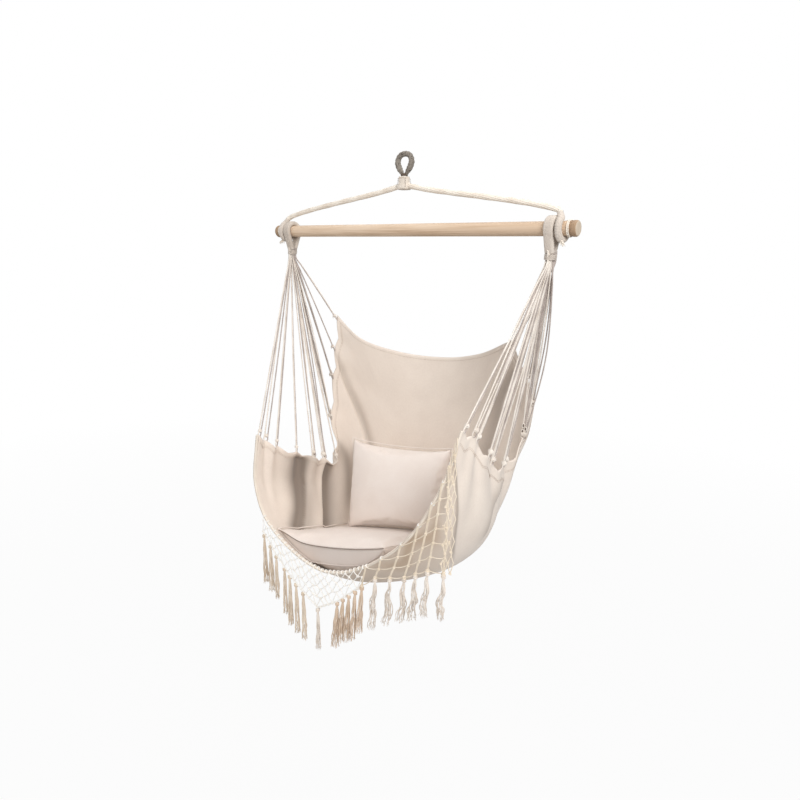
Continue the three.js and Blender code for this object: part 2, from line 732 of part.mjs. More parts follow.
// Half a cushion's side at a share of it: drawn in at the middle and rounded at the corners
const drawnIn = (share, other, half, amount, roundShare) => share
  * (half * (1 - roundShare * share * share * other * other) - amount * (1 - other * other));

// Height of the canvas under a place
function floorAt(x, y) {
  const high = new THREE.Vector3(x, y, -canvasDrop / 2);
  return high.z - distanceToCanvas(high, up.clone().negate());
}

const seatMiddle = [seatMiddleShares[0] * canvasHalfWidth, seatMiddleShares[1] * canvasHalfDepth];

// The greater of two heights, blended where they are alike
function softMost(a, b, softness) {
  return (a + b + Math.hypot(a - b, softness)) / 2;
}

// Thickness of the seat cushion at its rim, least at its pinched corners
const seatRim = (s, t) => seatGusset * (1 - seatPinchShare * s ** 4 * t ** 4);

// Place on the seat cushion's top, for shares from -1 to 1 across and along it
function seatTop(s, t) {
  const x = seatMiddle[0] + drawnIn(s, t, seatWidth / 2, seatDrawIn, seatRoundShare);
  const y = seatMiddle[1] + drawnIn(t, s, seatDepth / 2, seatDrawIn, seatRoundShare);
  const crown = seatCrown * (1 - s ** 4) * (1 - t ** 4);
  const sag = seatFrontSag * (1 - s * s) * ((1 - t) / 2) ** 2;
  const level = -seatTopDrop + crown - sag + seatRiseShare * (x - seatMiddle[0])
    + seatSlopeShare * (y - seatMiddle[1]);
  return new THREE.Vector3(x, y, softMost(level, floorAt(x, y) + seatRim(s, t), seatBendSoftness));
}

// Shares from -1 to 1 across and along a cushion, row by row
const cushionShares = [];
for (let j = 0; j <= cushionSteps; j += 1) {
  for (let i = 0; i <= cushionSteps; i += 1) {
    cushionShares.push([(2 * i) / cushionSteps - 1, (2 * j) / cushionSteps - 1]);
  }
}
const seatTopPoints = cushionShares.map(([s, t]) => seatTop(s, t));
const seatTriangles = gridTriangles(cushionSteps, cushionSteps);

function seatCushion() {
  const bottom = cushionShares.map(([s, t], k) => {
    const point = seatTopPoints[k];
    const room = point.z - floorAt(point.x, point.y) - touchGap * 3;
    const rim = Math.max(Math.abs(s), Math.abs(t)) ** 6;
    const deep = THREE.MathUtils.lerp(room, Math.min(room, seatRim(s, t)), rim);
    return point.clone().addScaledVector(up, -deep);
  });
  return slab(seatTopPoints, bottom, cushionSteps, cushionSteps);
}

// Lifts a point out of the seat cushion, to rest on its top
function onSeat(point) {
  const high = point.clone().setZ(-canvasDrop / 2);
  const drop = distanceTo(seatTopPoints, seatTriangles, high, up.clone().negate());
  return point.setZ(Math.max(point.z, high.z - drop + touchGap * 3));
}

function corner([x, y, z]) {
  return new THREE.Vector3(x * canvasHalfWidth, y * canvasHalfDepth, -z * canvasDrop);
}

// Back cushion: crowned on both faces, drawn in along its sides, resting on the seat cushion
function backCushion() {
  const [tl, tr, ll, lr] = [backCornerShares.topLeft, backCornerShares.topRight,
    backCornerShares.lowLeft, backCornerShares.lowRight].map(corner);
  const width = tr.clone().sub(tl).length();
  const height = tl.clone().sub(ll).length();
  const acrossDirection = tr.clone().sub(tl).add(lr).sub(ll).normalize();
  const alongDirection = tl.clone().sub(ll).add(tr).sub(lr).normalize();
  const facing = new THREE.Vector3().crossVectors(acrossDirection, alongDirection).normalize();
  const front = [];
  const rear = [];
  cushionShares.forEach(([s, t]) => {
    const a = (drawnIn(s, t, width / 2, backDrawIn, backRoundShare) / width) + 0.5;
    const b = (drawnIn(t, s, height / 2, backDrawIn, backRoundShare) / height) + 0.5;
    const middle = ll.clone().lerp(lr, a).lerp(tl.clone().lerp(tr, a), b);
    const crown = backCrown * Math.sqrt((1 - s * s) * (1 - t * t));
    const room = distanceToCanvas(middle, facing.clone().negate()) - canvasThickness;
    front.push(onSeat(middle.clone().addScaledVector(facing, crown)));
    rear.push(onSeat(middle.clone().addScaledVector(facing, -Math.min(crown, room))));
  });
  return slab(front, rear, cushionSteps, cushionSteps);
}

// Finishes
const finish = (color, roughness) => new THREE.MeshStandardMaterial({ color, roughness, metalness: 0 });
const servedRope = finish(0x88817a, 0.85);
const cotton = finish(0xe6dacb, 0.9);
const cottonCord = finish(0xe9dfcf, 0.9);
const canvasCloth = finish(0xe3d5c8, 0.95);
const cushionCloth = finish(0xeadccf, 0.95);
const wood = finish(0xd6bfaa, 0.55);

const model = new THREE.Group();
const chair = new THREE.Group();
chair.position.z = -hangToBar;
model.add(chair);

function place(parent, name, geometry, material) {
  const mesh = new THREE.Mesh(geometry, material);
  mesh.name = name;
  parent.add(mesh);
  return mesh;
}

place(model, 'hanging_eye', hangingEye(), servedRope);
place(chair, 'eye_sleeve', eyeSleeve(), cotton);
place(chair, 'spreader_bar', spreaderBar(), wood);
[['left', -1], ['right', 1]].forEach(([name, side]) => {
  place(chair, `top_rope_${name}`, topRope(side), cotton);
  place(chair, `bar_twine_${name}`, barTwine(side), cottonCord);
  place(chair, `clew_loop_${name}`, clewLoop(), cotton).position.x = side * clewPlace;
  place(chair, `clew_whipping_${name}`, clewWhipping(), cottonCord).position.x = side * clewPlace;
  place(chair, `suspension_cords_${name}`, suspensionCords(side), cottonCord);
});
place(chair, 'canvas', canvas(), canvasCloth);
place(chair, 'front_edge_rope', frontEdgeRope(), cotton);
place(chair, 'macrame_net', macrameNet(), cottonCord);
for (let k = 0; k < tasselPlaceShares.length; k += 1) {
  place(chair, `tassel_${String(k + 1).padStart(2, '0')}`, tassel(k), cottonCord);
}
place(chair, 'seat_cushion', seatCushion(), cushionCloth);
place(chair, 'back_cushion', backCushion(), cushionCloth);

export default model;
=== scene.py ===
# Looks for the hammock chair. Shapes are worked out in millimetres about the middle of the bar,
# +Z up and +X to the sitter's left-hand end, and are turned into metres below the hanging point.
import math
import random

import bpy
import numpy as np
from mathutils import Matrix, Vector
from mathutils.bvhtree import BVHTree

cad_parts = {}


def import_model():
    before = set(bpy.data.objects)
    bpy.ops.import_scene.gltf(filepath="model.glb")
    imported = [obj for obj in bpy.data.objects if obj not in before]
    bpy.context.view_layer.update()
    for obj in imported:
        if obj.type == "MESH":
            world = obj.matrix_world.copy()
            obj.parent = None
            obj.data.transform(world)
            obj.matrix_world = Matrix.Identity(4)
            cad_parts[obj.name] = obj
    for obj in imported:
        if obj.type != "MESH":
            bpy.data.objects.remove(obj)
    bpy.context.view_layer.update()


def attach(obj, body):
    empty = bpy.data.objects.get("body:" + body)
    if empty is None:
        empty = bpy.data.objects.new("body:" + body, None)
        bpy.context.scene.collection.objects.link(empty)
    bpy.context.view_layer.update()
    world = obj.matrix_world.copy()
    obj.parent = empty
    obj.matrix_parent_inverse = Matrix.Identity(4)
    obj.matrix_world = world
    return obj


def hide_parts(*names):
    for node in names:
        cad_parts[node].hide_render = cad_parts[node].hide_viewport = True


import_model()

MM = 0.001
HANG_TO_BAR = 190.0
TOUCH_GAP = 0.3
NEAR_NOUGHT = 1e-9
SPLINE_STEPS = 40

# Camera, in metres and degrees
CAMERA_PLACE = (1.048, -1.375, -0.2887)
CAMERA_AZIMUTH = 37.0
CAMERA_PITCH = 12.311
CAMERA_ROLL = 2.0
FOCAL_PIXELS = 609.06
PICTURE_PIXELS = 800.0
SENSOR = 36.0
NEAR_CLIP = 0.01

# Stage and light: the place, size and power of each lamp, in metres and watts
FLOOR_PLACE = -2.05
FLOOR_RADIUS = 6.0
FLOOR_SIDES = 96
FLOOR_SHADE = 0.6
FLOOR_LIGHT_SHARE = 0.94
FLOOR_FADE_FROM = 2.2
LAMPS = {"key": ((2.5, -1.9, 0.9), 2.0, 87.0),
         "fill": ((-1.7, -2.4, 0.2), 2.5, 19.0),
         "top": ((0.3, 0.4, 1.9), 2.0, 26.0)}
LAMP_TARGET = (0, 0, -0.75)
WORLD_LIGHT = 0.43

# A twist is the length in which the strands of a rope turn once round it, and the share of its
# radius that the grooves between them take. Stitches are given as their step, length and thickness.

# Hanging eye and its collar
EYE_ROPE = 14.0
EYE_FOOT_ROPE = 8.6
EYE_WIDTH = 60.0
EYE_HEIGHT = 61.0
EYE_FOOT_SPREAD = 9.6
EYE_SIDE_SHARES = ((0, 0), (0.7, 0.09), (1, 0.36), (0.8, 0.63), (0.42, 0.86))
EYE_TAPER_SHARE = 0.12
EYE_SWELL_SHARE = 1.06
EYE_LEG_SWELL_SHARE = 0.14
EYE_LEG_SHARE = 0.2
EYE_STEP = 0.9
EYE_STEM = 16.0
EYE_STEM_LENGTH = 22.0
EYE_STEM_PLACE_SHARES = (0, 0.18, 0.3, 0.85, 1)
EYE_STEM_RADIUS_SHARES = (0.25, 0.5125, 0.5, 0.475, 0.1875)
EYE_STEM_INSET = 1.0
EYE_STEM_STEPS = 30
EYE_TWIST = (17.0, 0.2)
EYE_STEM_TWIST = (17.0, 0.12)
COLLAR_TURNS = 3
COLLAR_STEPS = 90
COLLAR_REACH = 0.7
COLLAR_CLIMB = 0.3
COLLAR_DROP = 2.5
COLLAR_THREAD = 2.0

# Sleeve below the eye
SLEEVE_LENGTH = 33.0
SLEEVE_TOP_GAP = 4.0
SLEEVE_TOP = 28.0
SLEEVE_FOOT = 38.0
SLEEVE_FLATNESS_SHARE = 0.86
SLEEVE_BELLY_SHARE = 1.03
SLEEVE_ROUND_PLACE_SHARES = (0, 0.04, 0.9, 1)
SLEEVE_ROUND_SHARES = (0.93, 1.03, 1.03, 0.94)
SLEEVE_WRINKLE_SHARES = ((0.012, 5, 9), (0.02, 2, 4))
SLEEVE_BOX_SHARE = 0.75
SLEEVE_MOUTH_SHARE = 0.76
SLEEVE_MOUTH_LIP = 2.5
SLEEVE_MOUTH_DEPTH = 4.0
SLEEVE_UNDER_SHARE = 0.6
SLEEVE_UNDER_DEPTH = 0.5
SLEEVE_ROWS = 24
SLEEVE_SIDES = 36
SLEEVE_SEAM_ACROSS_SHARE = 0.86
SLEEVE_SEAM_DEEP_SHARE = 0.94
SLEEVE_SEAM_INSET = 3.0
SLEEVE_SEAM_STEPS = 12
SLEEVE_STITCHES = (4.2, 2.6, 1.2)
SLEEVE_BAND_SHARE = 1.01
SLEEVE_BAND = 1.0

# Bar
BAR_LENGTH = 1000.0
BAR = 34.0
BAR_SIDES = 64
BAR_STEPS = 40
BAR_STEP_INSET = 4.0
BAR_WOBBLE_SHARE = 0.006
BAR_WOBBLE_LENGTHS = (61.0, 9.0, 7.0)
BAR_TIP = 37.0
BAR_TIP_LENGTH = 14.0
BAR_TIP_ROUNDING = 5.0
BAR_TIP_ROUNDING_SHARE = 0.8
BAR_TIP_SHOULDER = 1.5
BAR_TIP_EDGE_SHARE = 0.985
BAR_BORE = 0.001
TIP_SHADE = 20.0
TIP_SHADE_EDGE = 22.0
END_SHADE = 0.8
END_SHADE_EDGE = 1.2

# Top ropes and the twine beside them
ROPE = 14.0
ROPE_HEIGHT_AT_SLEEVE = 116.0
ROPE_SEAT = 10.0
ROPE_HEIGHT_OVER_LOOP = 40.0
ROPE_LOOP_GAP = 8.0
ROPE_BEND_SHARES = (-0.42, -0.25, 0.7)
ROPE_TURNS = 0.8
ROPE_TURN_PITCH = 4.0
ROPE_TURN_INSET = 40.0
ROPE_TURN_STEPS = 60
ROPE_START_ANGLE = 25.0
ROPE_STRANDS = 9
ROPE_SIDES = 45
ROPE_TWIST = (420.0, 0.22)
ROPE_STEP = 2.5
ROPE_SWAY = 0.6
ROPE_SWAY_LENGTH = 47.0
ROPE_SWELL_SHARE = 0.03
ROPE_SWELL_LENGTH = 13.0
LEAD_STEPS = 300
SERVED_STEPS = 80
SERVED_STEP = 0.5
SERVED_SIDES = 20
ROPE_SERVING = 2.6
ROPE_SERVED_SWELL = 1.4
ROPE_SERVED_RIB = 0.35
FRAY_STRANDS = 18
FRAY_STRAND = 1.4
FRAY_LENGTH = 14.0
FRAY_STEP = 2.0
FRAY_START_SHARES = (0.4, -0.9, -0.3)
FRAY_WAY = (0.7, -0.3, -0.8)
FRAY_SPREAD_SHARES = ((-0.6, 0.6), (-0.5, 0.5), (-0.5, 0.3))
FRAY_ROOT_SHARES = ((-1, 1), (-1, 1), (0, 1))
FRAY_ROOT_SHARE = 0.2
FRAY_SAG_SHARE = 0.25
TWINE = 2.6
TWINE_SWELL_SHARE = 1.15
TWINE_TURN_GAP = 0.6
TWINE_TURNS = 2
TWINE_STEPS = 48
TWINE_STEP = 1.0
TWINE_TILT_SHARE = 0.05
TWINE_INSET = 1.2
TWINE_TWIST = (7.0, 0.35)

# Loops over the bar, and the whipping under each
CLEW_INSET = 63.0
CLEW_WIDTH = 25.0
CLEW_THICKNESS = 13.0
CLEW_DROP = 56.0
CLEW_FOOT_RISE = 1.0
CLEW_SPREAD_ANGLE = 30.0
CLEW_RIB = 2.4
CLEW_RIB_SHARE = 0.12
CLEW_RIB_WIDTH_SHARE = 0.03
CLEW_THICKNESS_SHARE = 0.99
CLEW_PLACE_SHARES = (0, 0.12, 0.3, 0.7, 0.88, 1)
CLEW_WIDTH_SHARES = (0.9, 0.95, 1, 1, 0.95, 0.9)
CLEW_BOX_SHARES = (0.45, 0.7)
CLEW_ARC_STEPS = 90
CLEW_LEG_STEPS = 26
CLEW_STEP = 0.5
CLEW_SIDES = 24
SLIP_GAP = 0.4
NECK = 24.0
NECK_LENGTH = 26.0
WHIPPING = 2.4
WHIPPING_TURNS = 5
WHIPPING_STEPS = 30
WHIPPING_PITCH_SHARE = 1.04
WHIPPING_DROP = 2.0
WHIPPING_TWIST = (5.0, 0.25)

# Suspension cords; where a table has a share for each cord, it runs from the front to the back
CORD = 4.0
CORD_TWIST = (13.0, 0.34)
CORD_STEP = 1.5
CORD_SWAY = 1.5
CORD_SWELL_SHARE = 1.04
CORD_BIGHT_WIDTH = 14.0
CORD_BIGHT_HEIGHT = 10.0
CORD_BIGHT_SHARES = ((0.75, 1.6), (0.9, 0.7), (0.55, 0.1))
CORD_STATION_SHARES = (0.012, 0.1, 0.19, 0.28, 0.365, 0.435, 0.5, 0.66, 0.8, 0.89, 0.985)
LEFT_EXTRA_CORDS = (0, 0, 0, 0, 1, 2, 3, 3, 2, 0, 0)
RIGHT_EXTRA_CORDS = (0, 1, 1, 3, 3, 3, 4, 4, 2, 0, 0)
NECK_WAY = np.array([0.45, 0.89, 0.0])
NECK_ACROSS = np.array([0.89, -0.45, 0.0])
NECK_RISE = 6.0
NECK_SPREAD_SHARE = 1.15
HEM_BITE = 5.5
LEG_INSET_SHARE = 0.6
LEG_PLACE_SHARES = (0.15, 0.5, 0.92)
EXTRA_PLACE_SHARES = (0.6, 0.9, 0.7)
EXTRA_BOW_SHARES = (0.25, 0.5)
EXTRA_BOW = 9.6
EXTRA_LEAN = 1.5
FOOT_KNOT_SHARES = (1.5, 1.1, 1.5)
FOOT_KNOT_RISE_SHARE = 1.7
FOOT_KNOT_SWELL_SHARE = 0.12
CHAIN_STEP_SHARES = (2.4, -1)
CHAIN_SWAY_SHARE = 0.9
CHAIN_REACH_SHARES = (0.85, 1.7)
CHAIN_LEAN_SHARE = 0.3
CHAIN_RADIUS_SHARE = 0.4
# Sizes of the dark blob painted as shade in each chain loop's hollow
CHAIN_HOLLOW_SHADE_SHARES = (0.5, 0.35, 1.25)
WRAP_TURNS = 1.5
WRAP_STEPS = 36
WRAP_STEP = 1.0
WRAP_SHARES = (1.6, 1.2, 1.5)
WRAP_RADIUS_SHARE = 0.36
WRAP_TWIST = (9.1, 0.3)
TAIL_RADIUS_SHARE = 0.3
TAIL_TWIST = (7.8, 0.3)
TAIL_DROPS = (3.0, 11.0)
TAIL_REACH_SHARE = 0.8
TAIL_RUN = 3.0
TAIL_STEP = 1.2

# Canvas
HALF_WIDTH = 360.0
HALF_DEPTH = 260.0
DROP = 1000.0
CLOTH = 2.0
LEFT_HEM = 24.0
RIGHT_HEM = 36.0
TOP_HEM = 14.0
HEM_SWELL = 1.1
HEM_SLOPE = 3.0
SEAM_INSET = 2.5
SEAM_INSET_TWO = 6.5
CANVAS_ACROSS = 150
CANVAS_ALONG = 210
HAIR_SHARE = 0.004
WAY_SHARE = 0.01

# Sections of the canvas from its front lip to its top hem, each from the left hem to the right
SECTION_SHARES = (
    ((-0.93, -0.9, 0.6), (-0.93, -0.94, 0.75), (-0.75, -0.96, 0.859), (-0.11, -0.96, 0.934),
     (0.575, -0.96, 0.79), (0.9, -0.94, 0.609), (1.01, -0.87, 0.455)),
    ((-0.97, -0.6, 0.65), (-0.975, -0.62, 0.79), (-0.75, -0.62, 0.925), (-0.06, -0.62, 0.985),
     (0.6, -0.62, 0.88), (0.935, -0.6, 0.7), (0.985, -0.55, 0.495)),
    ((-0.945, -0.12, 0.705), (-0.96, -0.12, 0.82), (-0.7, -0.1, 0.978), (0, -0.1, 1.0),
     (0.65, -0.1, 0.91), (0.93, -0.12, 0.77), (0.945, -0.15, 0.58)),
    ((-0.89, 0.33, 0.745), (-0.95, 0.35, 0.83), (-0.67, 0.4, 0.99), (0, 0.44, 0.985),
     (0.65, 0.42, 0.88), (0.82, 0.38, 0.79), (0.9, 0.33, 0.618)),
    ((-0.98, 0.36, 0.61), (-0.86, 0.66, 0.675), (-0.55, 0.76, 0.77), (0, 0.8, 0.81),
     (0.55, 0.78, 0.755), (0.85, 0.66, 0.645), (0.94, 0.55, 0.55)),
    ((-0.97, 0.38, 0.44), (-0.84, 0.68, 0.5), (-0.5, 0.86, 0.575), (0, 0.93, 0.6),
     (0.5, 0.89, 0.565), (0.92, 0.76, 0.49), (0.965, 0.6, 0.44)),
    ((-0.875, 0.31, 0.257), (-0.72, 0.51, 0.33), (-0.42, 0.81, 0.371), (0, 0.96, 0.375),
     (0.39, 0.83, 0.345), (0.736, 0.5, 0.295), (0.867, 0.32, 0.277)),
)

# Folds and creases in the canvas. Each line is in shares u across the cloth and v along it; widths
# are the shares over which a crease falls off before and after its line, and spans the shares over
# which it starts and ends.
LEFT_FOLD_DEPTH = 13.0
RIGHT_FOLD_DEPTH = 7.0
LEFT_FOLDS = 8.8
RIGHT_FOLDS = 6.4
FOLD_REACH_SHARE = 0.34
FOLD_SPAN_SHARES = (0.02, 0.12, 0.52, 0.66)
SCALLOP_DEPTH = 13.0
SCALLOP_REACH = 26.0
SCALLOP_POWER = 1.4
PUCKER_DEPTH = 3.2
PUCKER_REACH = 70.0
PUCKER_INSET = 6.0
WAVE_DEPTH = 1.6
WAVE_SHARES = (9, 5, 7, 2)
WAVE_EDGE_SHARES = (0.02, 0.2)
PLEAT_DEPTH = 20.0
PLEAT_PLACE_SHARES = (0.33, 0.455, 0.595)
PLEAT_BEND_SHARES = (0.125, 0.15, 0.18, 1.67)
PLEAT_SPAN_SHARES = (0.004, 0.04, 0.28, 0.36)
GROOVE_BEFORE_SHARES = (0.085, 0.035, 0.12, 0.24)
GROOVE_AFTER_SHARE = 0.012
GROOVE_TWO_SHARES = (0.01, 0.055)
SHADE_WIDTH_SHARES = (0.01, 0.06)
SHADE_SHARES = (0.3, 0.3, 0.1, 0.25)
SHADE_END_SHARES = (0.3, 0.4)
CORNER_WIDTH_SHARES = (0.022, 0.018)
CORNER_SPAN_SHARES = (0.03, 0.09, 0.24, 0.3)
BACK_FOLD_DEPTH = 9.0
BACK_FOLD_LINE_SHARES = (0.665, 0.45, 0.78, 14, 0.87)
BACK_FOLD_WIDTH_SHARES = (0.05, 0.012)
BACK_FOLD_SPAN_SHARES = (0.7, 0.78, 0.93, 0.97)
SIDE_FOLD_DEPTH = 3.0
SIDE_FOLD_LINE_SHARES = (1.2, 0.935, 0.006)
SIDE_FOLD_WIDTH_SHARES = (0.014, 0.01)
SIDE_FOLD_SPAN_SHARES = (0.7, 0.78, 0.945, 0.965)
DROP_DEPTH = 12.0
DROP_LINE_SHARES = (0.1, 1.1, 0.8)
DROP_WIDTH_SHARES = (0.012, 0.045)
DROP_SPAN_SHARES = (0.62, 0.68, 0.82, 0.9)
SLANT_DEPTH = 6.0
SLANT_LINE_SHARES = (0.33, 5.9, 0.82)
SLANT_WIDTH_SHARES = (0.035, 0.01)
SLANT_SPAN_SHARES = (0.78, 0.84, 0.955, 0.985)
# Painted shade on the canvas's outside behind the net
UNDER_NET_FROM_SHARES = (0.46, 0.54)
UNDER_NET_EDGE_SHARES = (0.72, 0.03)
UNDER_NET_FADE_SHARES = (0.7, 0.74, 0.84)
UNDER_NET_DEEP_SHARES = (0.04, 0.03, 60, 0.4)
UNDER_NET_DEEP_WIDTH_SHARES = (0.03, 0.04)
UNDER_NET_DEEP_FROM_SHARES = (0.58, 0.66)
# How much painted shade each crease puts into the canvas's fold mark
PAINTED_SHADE_SHARES = {"pleat": 1.2, "drop": 0.4, "back": 0.6, "corner": 0.5, "slant": 0.5, "side": 0.7}

# Front edge rope and net
HEM_ROPE = 8.0
HEM_ROPE_CORNERS = 8
HEM_ROPE_SIDES = 16
HEM_LINE_STEPS = 20
HEM_ROPE_STEP = 2.0
HEM_ROPE_STEPS = 400
HEM_ROPE_SWELL_SHARES = (0.035, 0.02)
HEM_ROPE_SWELL_LENGTHS = (4.3, 31.0, 17.0)
HEM_STITCH_LEAN_SHARE = 0.2
NET_THICKNESS = 3.0
NET_STRAND = 4.0
NET_CORD = 3.2
NET_CORD_SHARE = 0.4
THIN_CORD_SHARE = 0.42
NET_TWIST = (9.0, 0.3)
NET_STEP = 1.6
NET_SIDES = 7
NET_LEFT_CELLS = 13
NET_ROW = 15.0
NET_LEFT_SHARE = -0.8
NET_MIDDLE_SHARE = 0.286
NET_REACH = 4.0
NET_EDGE_SHARES = ((-0.8, 0.885), (-0.64, 0.941), (-0.483, 0.986), (-0.323, 1.018), (-0.16, 1.047),
                   (0.05, 0.998), (0.286, 0.92), (0.408, 0.881), (0.664, 0.848), (0.851, 0.806), (1.02, 0.8))
STEEP_TOP_SHARES = (0.318, 0.453, 0.623, 0.759, 0.855, 0.924, 0.961)
STEEP_FROM = 12
STEEP_BOW = 3.0
SIDE_STRING_SHARES = ((0.973, 0.955), (0.984, 0.975), (0.994, 0.995), (1.003, 1.014))
STRING_WAVE = 1.2
STRING_SWAY = 3.6
STRING_SWAY_SHARE = 3
STRING_ROWS = 12
STRING_OFFSET = 1.4
STRAND_SAG = 0.6
THIN_SAG = 0.4
THIN_SLACK_SHARE = 0.05
EDGE_STEPS = 60
RING_SHIFT = 1.2
RING_REACH = 0.6
RING_STEPS = 20
RING_RADIUS_SHARE = 0.3
RING_RISE_SHARE = 0.2
KNOT = 8.5
SMALL_KNOT = 6.2
KNOT_SHARES = (0.5, 0.36, 0.52)
KNOT_TILT_SHARE = 0.25
KNOT_LEAN_SHARE = 0.1
KNOT_LOBE_SHARE = 0.16
KNOT_BAND_ANGLES = (-0.6, 3.7)
KNOT_BAND_SHARES = (0.5, 0.4, 0.18, 0.2)
KNOT_BAND_STEPS = 12
KNOT_BAND_SHARE = 0.14

# Tassels, from the left end of the net to the right
TASSEL_LENGTH = 122.0
TASSEL_KNOT = 11.0
TASSEL_KNOT_HEIGHT = 13.0
TASSEL_KNOT_SHARES = (0.5, 0.42, 0.5)
TASSEL_KNOT_DROP_SHARE = 0.45
TASSEL_LOBE_SHARE = 0.14
TASSEL_TURN_SHARES = (0.25, 0.6)
TASSEL_TURN_LEAN = 1.6
TASSEL_TURN = 2.2
TASSEL_SKIRT = 16.0
TASSEL_ROOT = 1.4
TASSEL_ROOT_SHARE = 0.8
TASSEL_ROOT_REACH = 1.8
TASSEL_SPREAD_SHARE = 0.7
TASSEL_STRAND = 2.6
TASSEL_STRANDS = 11
TASSEL_STRAND_STEP = 2.2
TASSEL_TWIST = (8.0, 0.32)
TASSEL_THIN_SHARES = (0.9, 0.7)
TASSEL_CRINKLE = 1.6
TASSEL_CRINKLE_SHARE = 2.2
TASSEL_BENDS = 7
TASSEL_SWING_SHARES = (0.045, -0.05)
TASSEL_ANGLE_SHARE = 0.3
TASSEL_REACH_SHARES = (0.6, 1.05)
TASSEL_OWN_SHARES = (0.84, 0.97)
TAN_FROM = 8
LOOSE_FROM = 13
FULL_SKIRT_SHARE = 1.25
LOOSE_SKIRT_SHARE = 1.2
TASSEL_WAVE = 3.2
TASSEL_WAVES = 1.4
TASSEL_WAVE_SHARE = 4
FIBRES = 4
FIBRE_REACH = 3.2
FIBRE_LENGTH = 3.0
FIBRE_DROP_SHARES = (0.6, 1)
FIBRE_BEND_SHARES = (0.3, 0.5)
FIBRE = 0.84
TASSEL_PLACE_SHARES = (-0.785, -0.71, -0.64, -0.541, -0.48, -0.405, -0.323, -0.16, 0.045,
                       0.102, 0.16, 0.222, 0.286, 0.408, 0.539, 0.664, 0.755, 0.851, 0.965)
TASSEL_LENGTH_SHARES = (1.28, 1.22, 1.14, 1.19, 1.29, 1.28, 1.22, 1.04, 1.16, 1.09, 1.16, 1.21,
                        1.12, 1.2, 1.07, 1, 1.02, 1, 0.98)

# Cushions
SEAT_SIDE_GAP = 140.0
SEAT_END_GAP = 80.0
SEAT_GUSSET = 36.0
SEAT_SIDE_SHARE = 1.6
SEAT_CROWN = 20.0
SEAT_TOP_DROP = 900.0
SEAT_MIDDLE_SHARES = (-0.153, -0.2385)
SEAT_DRAW_IN = 14.0
SEAT_RISE_SHARE = 0.24
SEAT_SLOPE_SHARE = -0.26
SEAT_BEND_SOFTNESS = 14.0
SEAT_ROUND_SHARE = 0.08
SEAT_PINCH_SHARE = 0.85
SEAT_FRONT_SAG = 14.0
SEAT_FLOOR_GAP = 2.0
SEAT_STEPS = 60
# How far the seat's surface must face upwards to lose its painted side shade
SEAT_SIDE_SHADE_SHARES = (0.1, 0.6)
BACK_CROWN = 62.0
BACK_DRAW_IN = 16.0
BACK_ROUND_SHARE = 0.03
BACK_CORNER_SHARES = ((-0.68, 0.31, 0.65), (0.4, 0.38, 0.612), (-0.478, -0.077, 0.929), (0.597, 0.04, 0.85))
BACK_STEPS = 56
GATHER = 7.8
GATHER_WAVES = 26
GATHER_SPAN_SHARES = (0.7, 0.93)
PIPING = 4.0
SEAT_PIPING_SHARE = 0.8
BACK_PIPING_SHARE = 0.62
SEAT_PIPING_LIFTS = (-1.0, 2.0)
# Dark tube under the front of the seat's top piping, a painted shadow line
SHADOW_LINE = 2.4
SHADOW_LINE_DROP = 4.6
RIM_STEP = 2.0
RIM_STEPS = 900
FRONT_STEPS = 300
FLOOR_GRID = (60, 80)
LID_STEPS = 40
SEAT_CELL = 6.0
SEAT_SWELL_CAP = 6.0
BACK_CELL = 5.0
BACK_SWELL_CAP = 9.0
FAIRING_ROUNDS = 3
STUFFING_FRAMES = 20
STUFFING_PRESSURE = 4.0
STUFFING_STIFFNESS = 25.0
STUFFING_BENDING = 2.0

# Stitches
STITCHES = (5.2, 3.4, 0.9)
STITCH_RISE_SHARE = 0.35

# Colours, each as light and shaded tones
CANVAS_TONES = ((238, 226, 214), (231, 218, 206))
CLOTH_TONES = {"cushion_cloth": ((236, 225, 217), (230, 217, 208)),
               "hem_cloth": ((237, 227, 214), (226, 213, 198)),
               "sleeve_cloth": ((226, 216, 204), (214, 202, 188)),
               # The seat cushion's cloth, which takes painted shade on its sides
               "seat_cloth": ((236, 225, 217), (230, 217, 208))}
# Painted shade: darker tones blended into the canvas's creases and corner, into its outside behind the net,
# and into the seat cushion's sides and lower piping
PAINTED_SHADE_TONES = (("canvas_cloth", "fold", (122, 108, 97), 0.85),
              ("canvas_cloth", "under_net_shade", (188, 156, 118), 0.6),
              ("seat_cloth", "side", (140, 124, 114), 0.25))
COTTON_TONES = {"white_cotton": ((242, 234, 222), (222, 208, 192)),
                "net_cotton": ((240, 228, 210), (226, 210, 188)),
                # A lighter copy of the net cotton, painting the brighter light on the net's left part
                "lit_net_cotton": ((251, 249, 245), (244, 239, 231)),
                "fan_cotton": ((243, 236, 227), (216, 204, 192)),
                # A darker copy of the cord cotton, painting the shade side of each pair of cord legs
                "shaded_fan_cotton": ((204, 192, 184), (160, 148, 142)),
                "fringe_cotton": ((234, 220, 202), (208, 188, 166)),
                "tan_fringe_cotton": ((232, 212, 192), (208, 184, 160)),
                "pale_fringe_cotton": ((242, 234, 225), (216, 202, 188)),
                "served_cotton": ((214, 204, 194), (192, 180, 168)),
                "eye_rope": ((150, 142, 132), (108, 100, 92), (70, 62, 56)),
                "thread": ((204, 188, 172), (176, 158, 142)),
                # Dark tube painted as the shadow under the seat's top piping
                "shadow_line_thread": ((158, 142, 130), (134, 118, 108)),
                # Dark thread, also used for the blobs of painted shade in the chain loops' hollows
                "dark_thread_and_shade": ((122, 104, 90), (92, 78, 68))}
WOOD_TONES = {"light": (226, 205, 183), "middle": (214, 189, 163), "dark": (190, 162, 134),
              "tip": (150, 122, 95), "end": (196, 180, 160)}

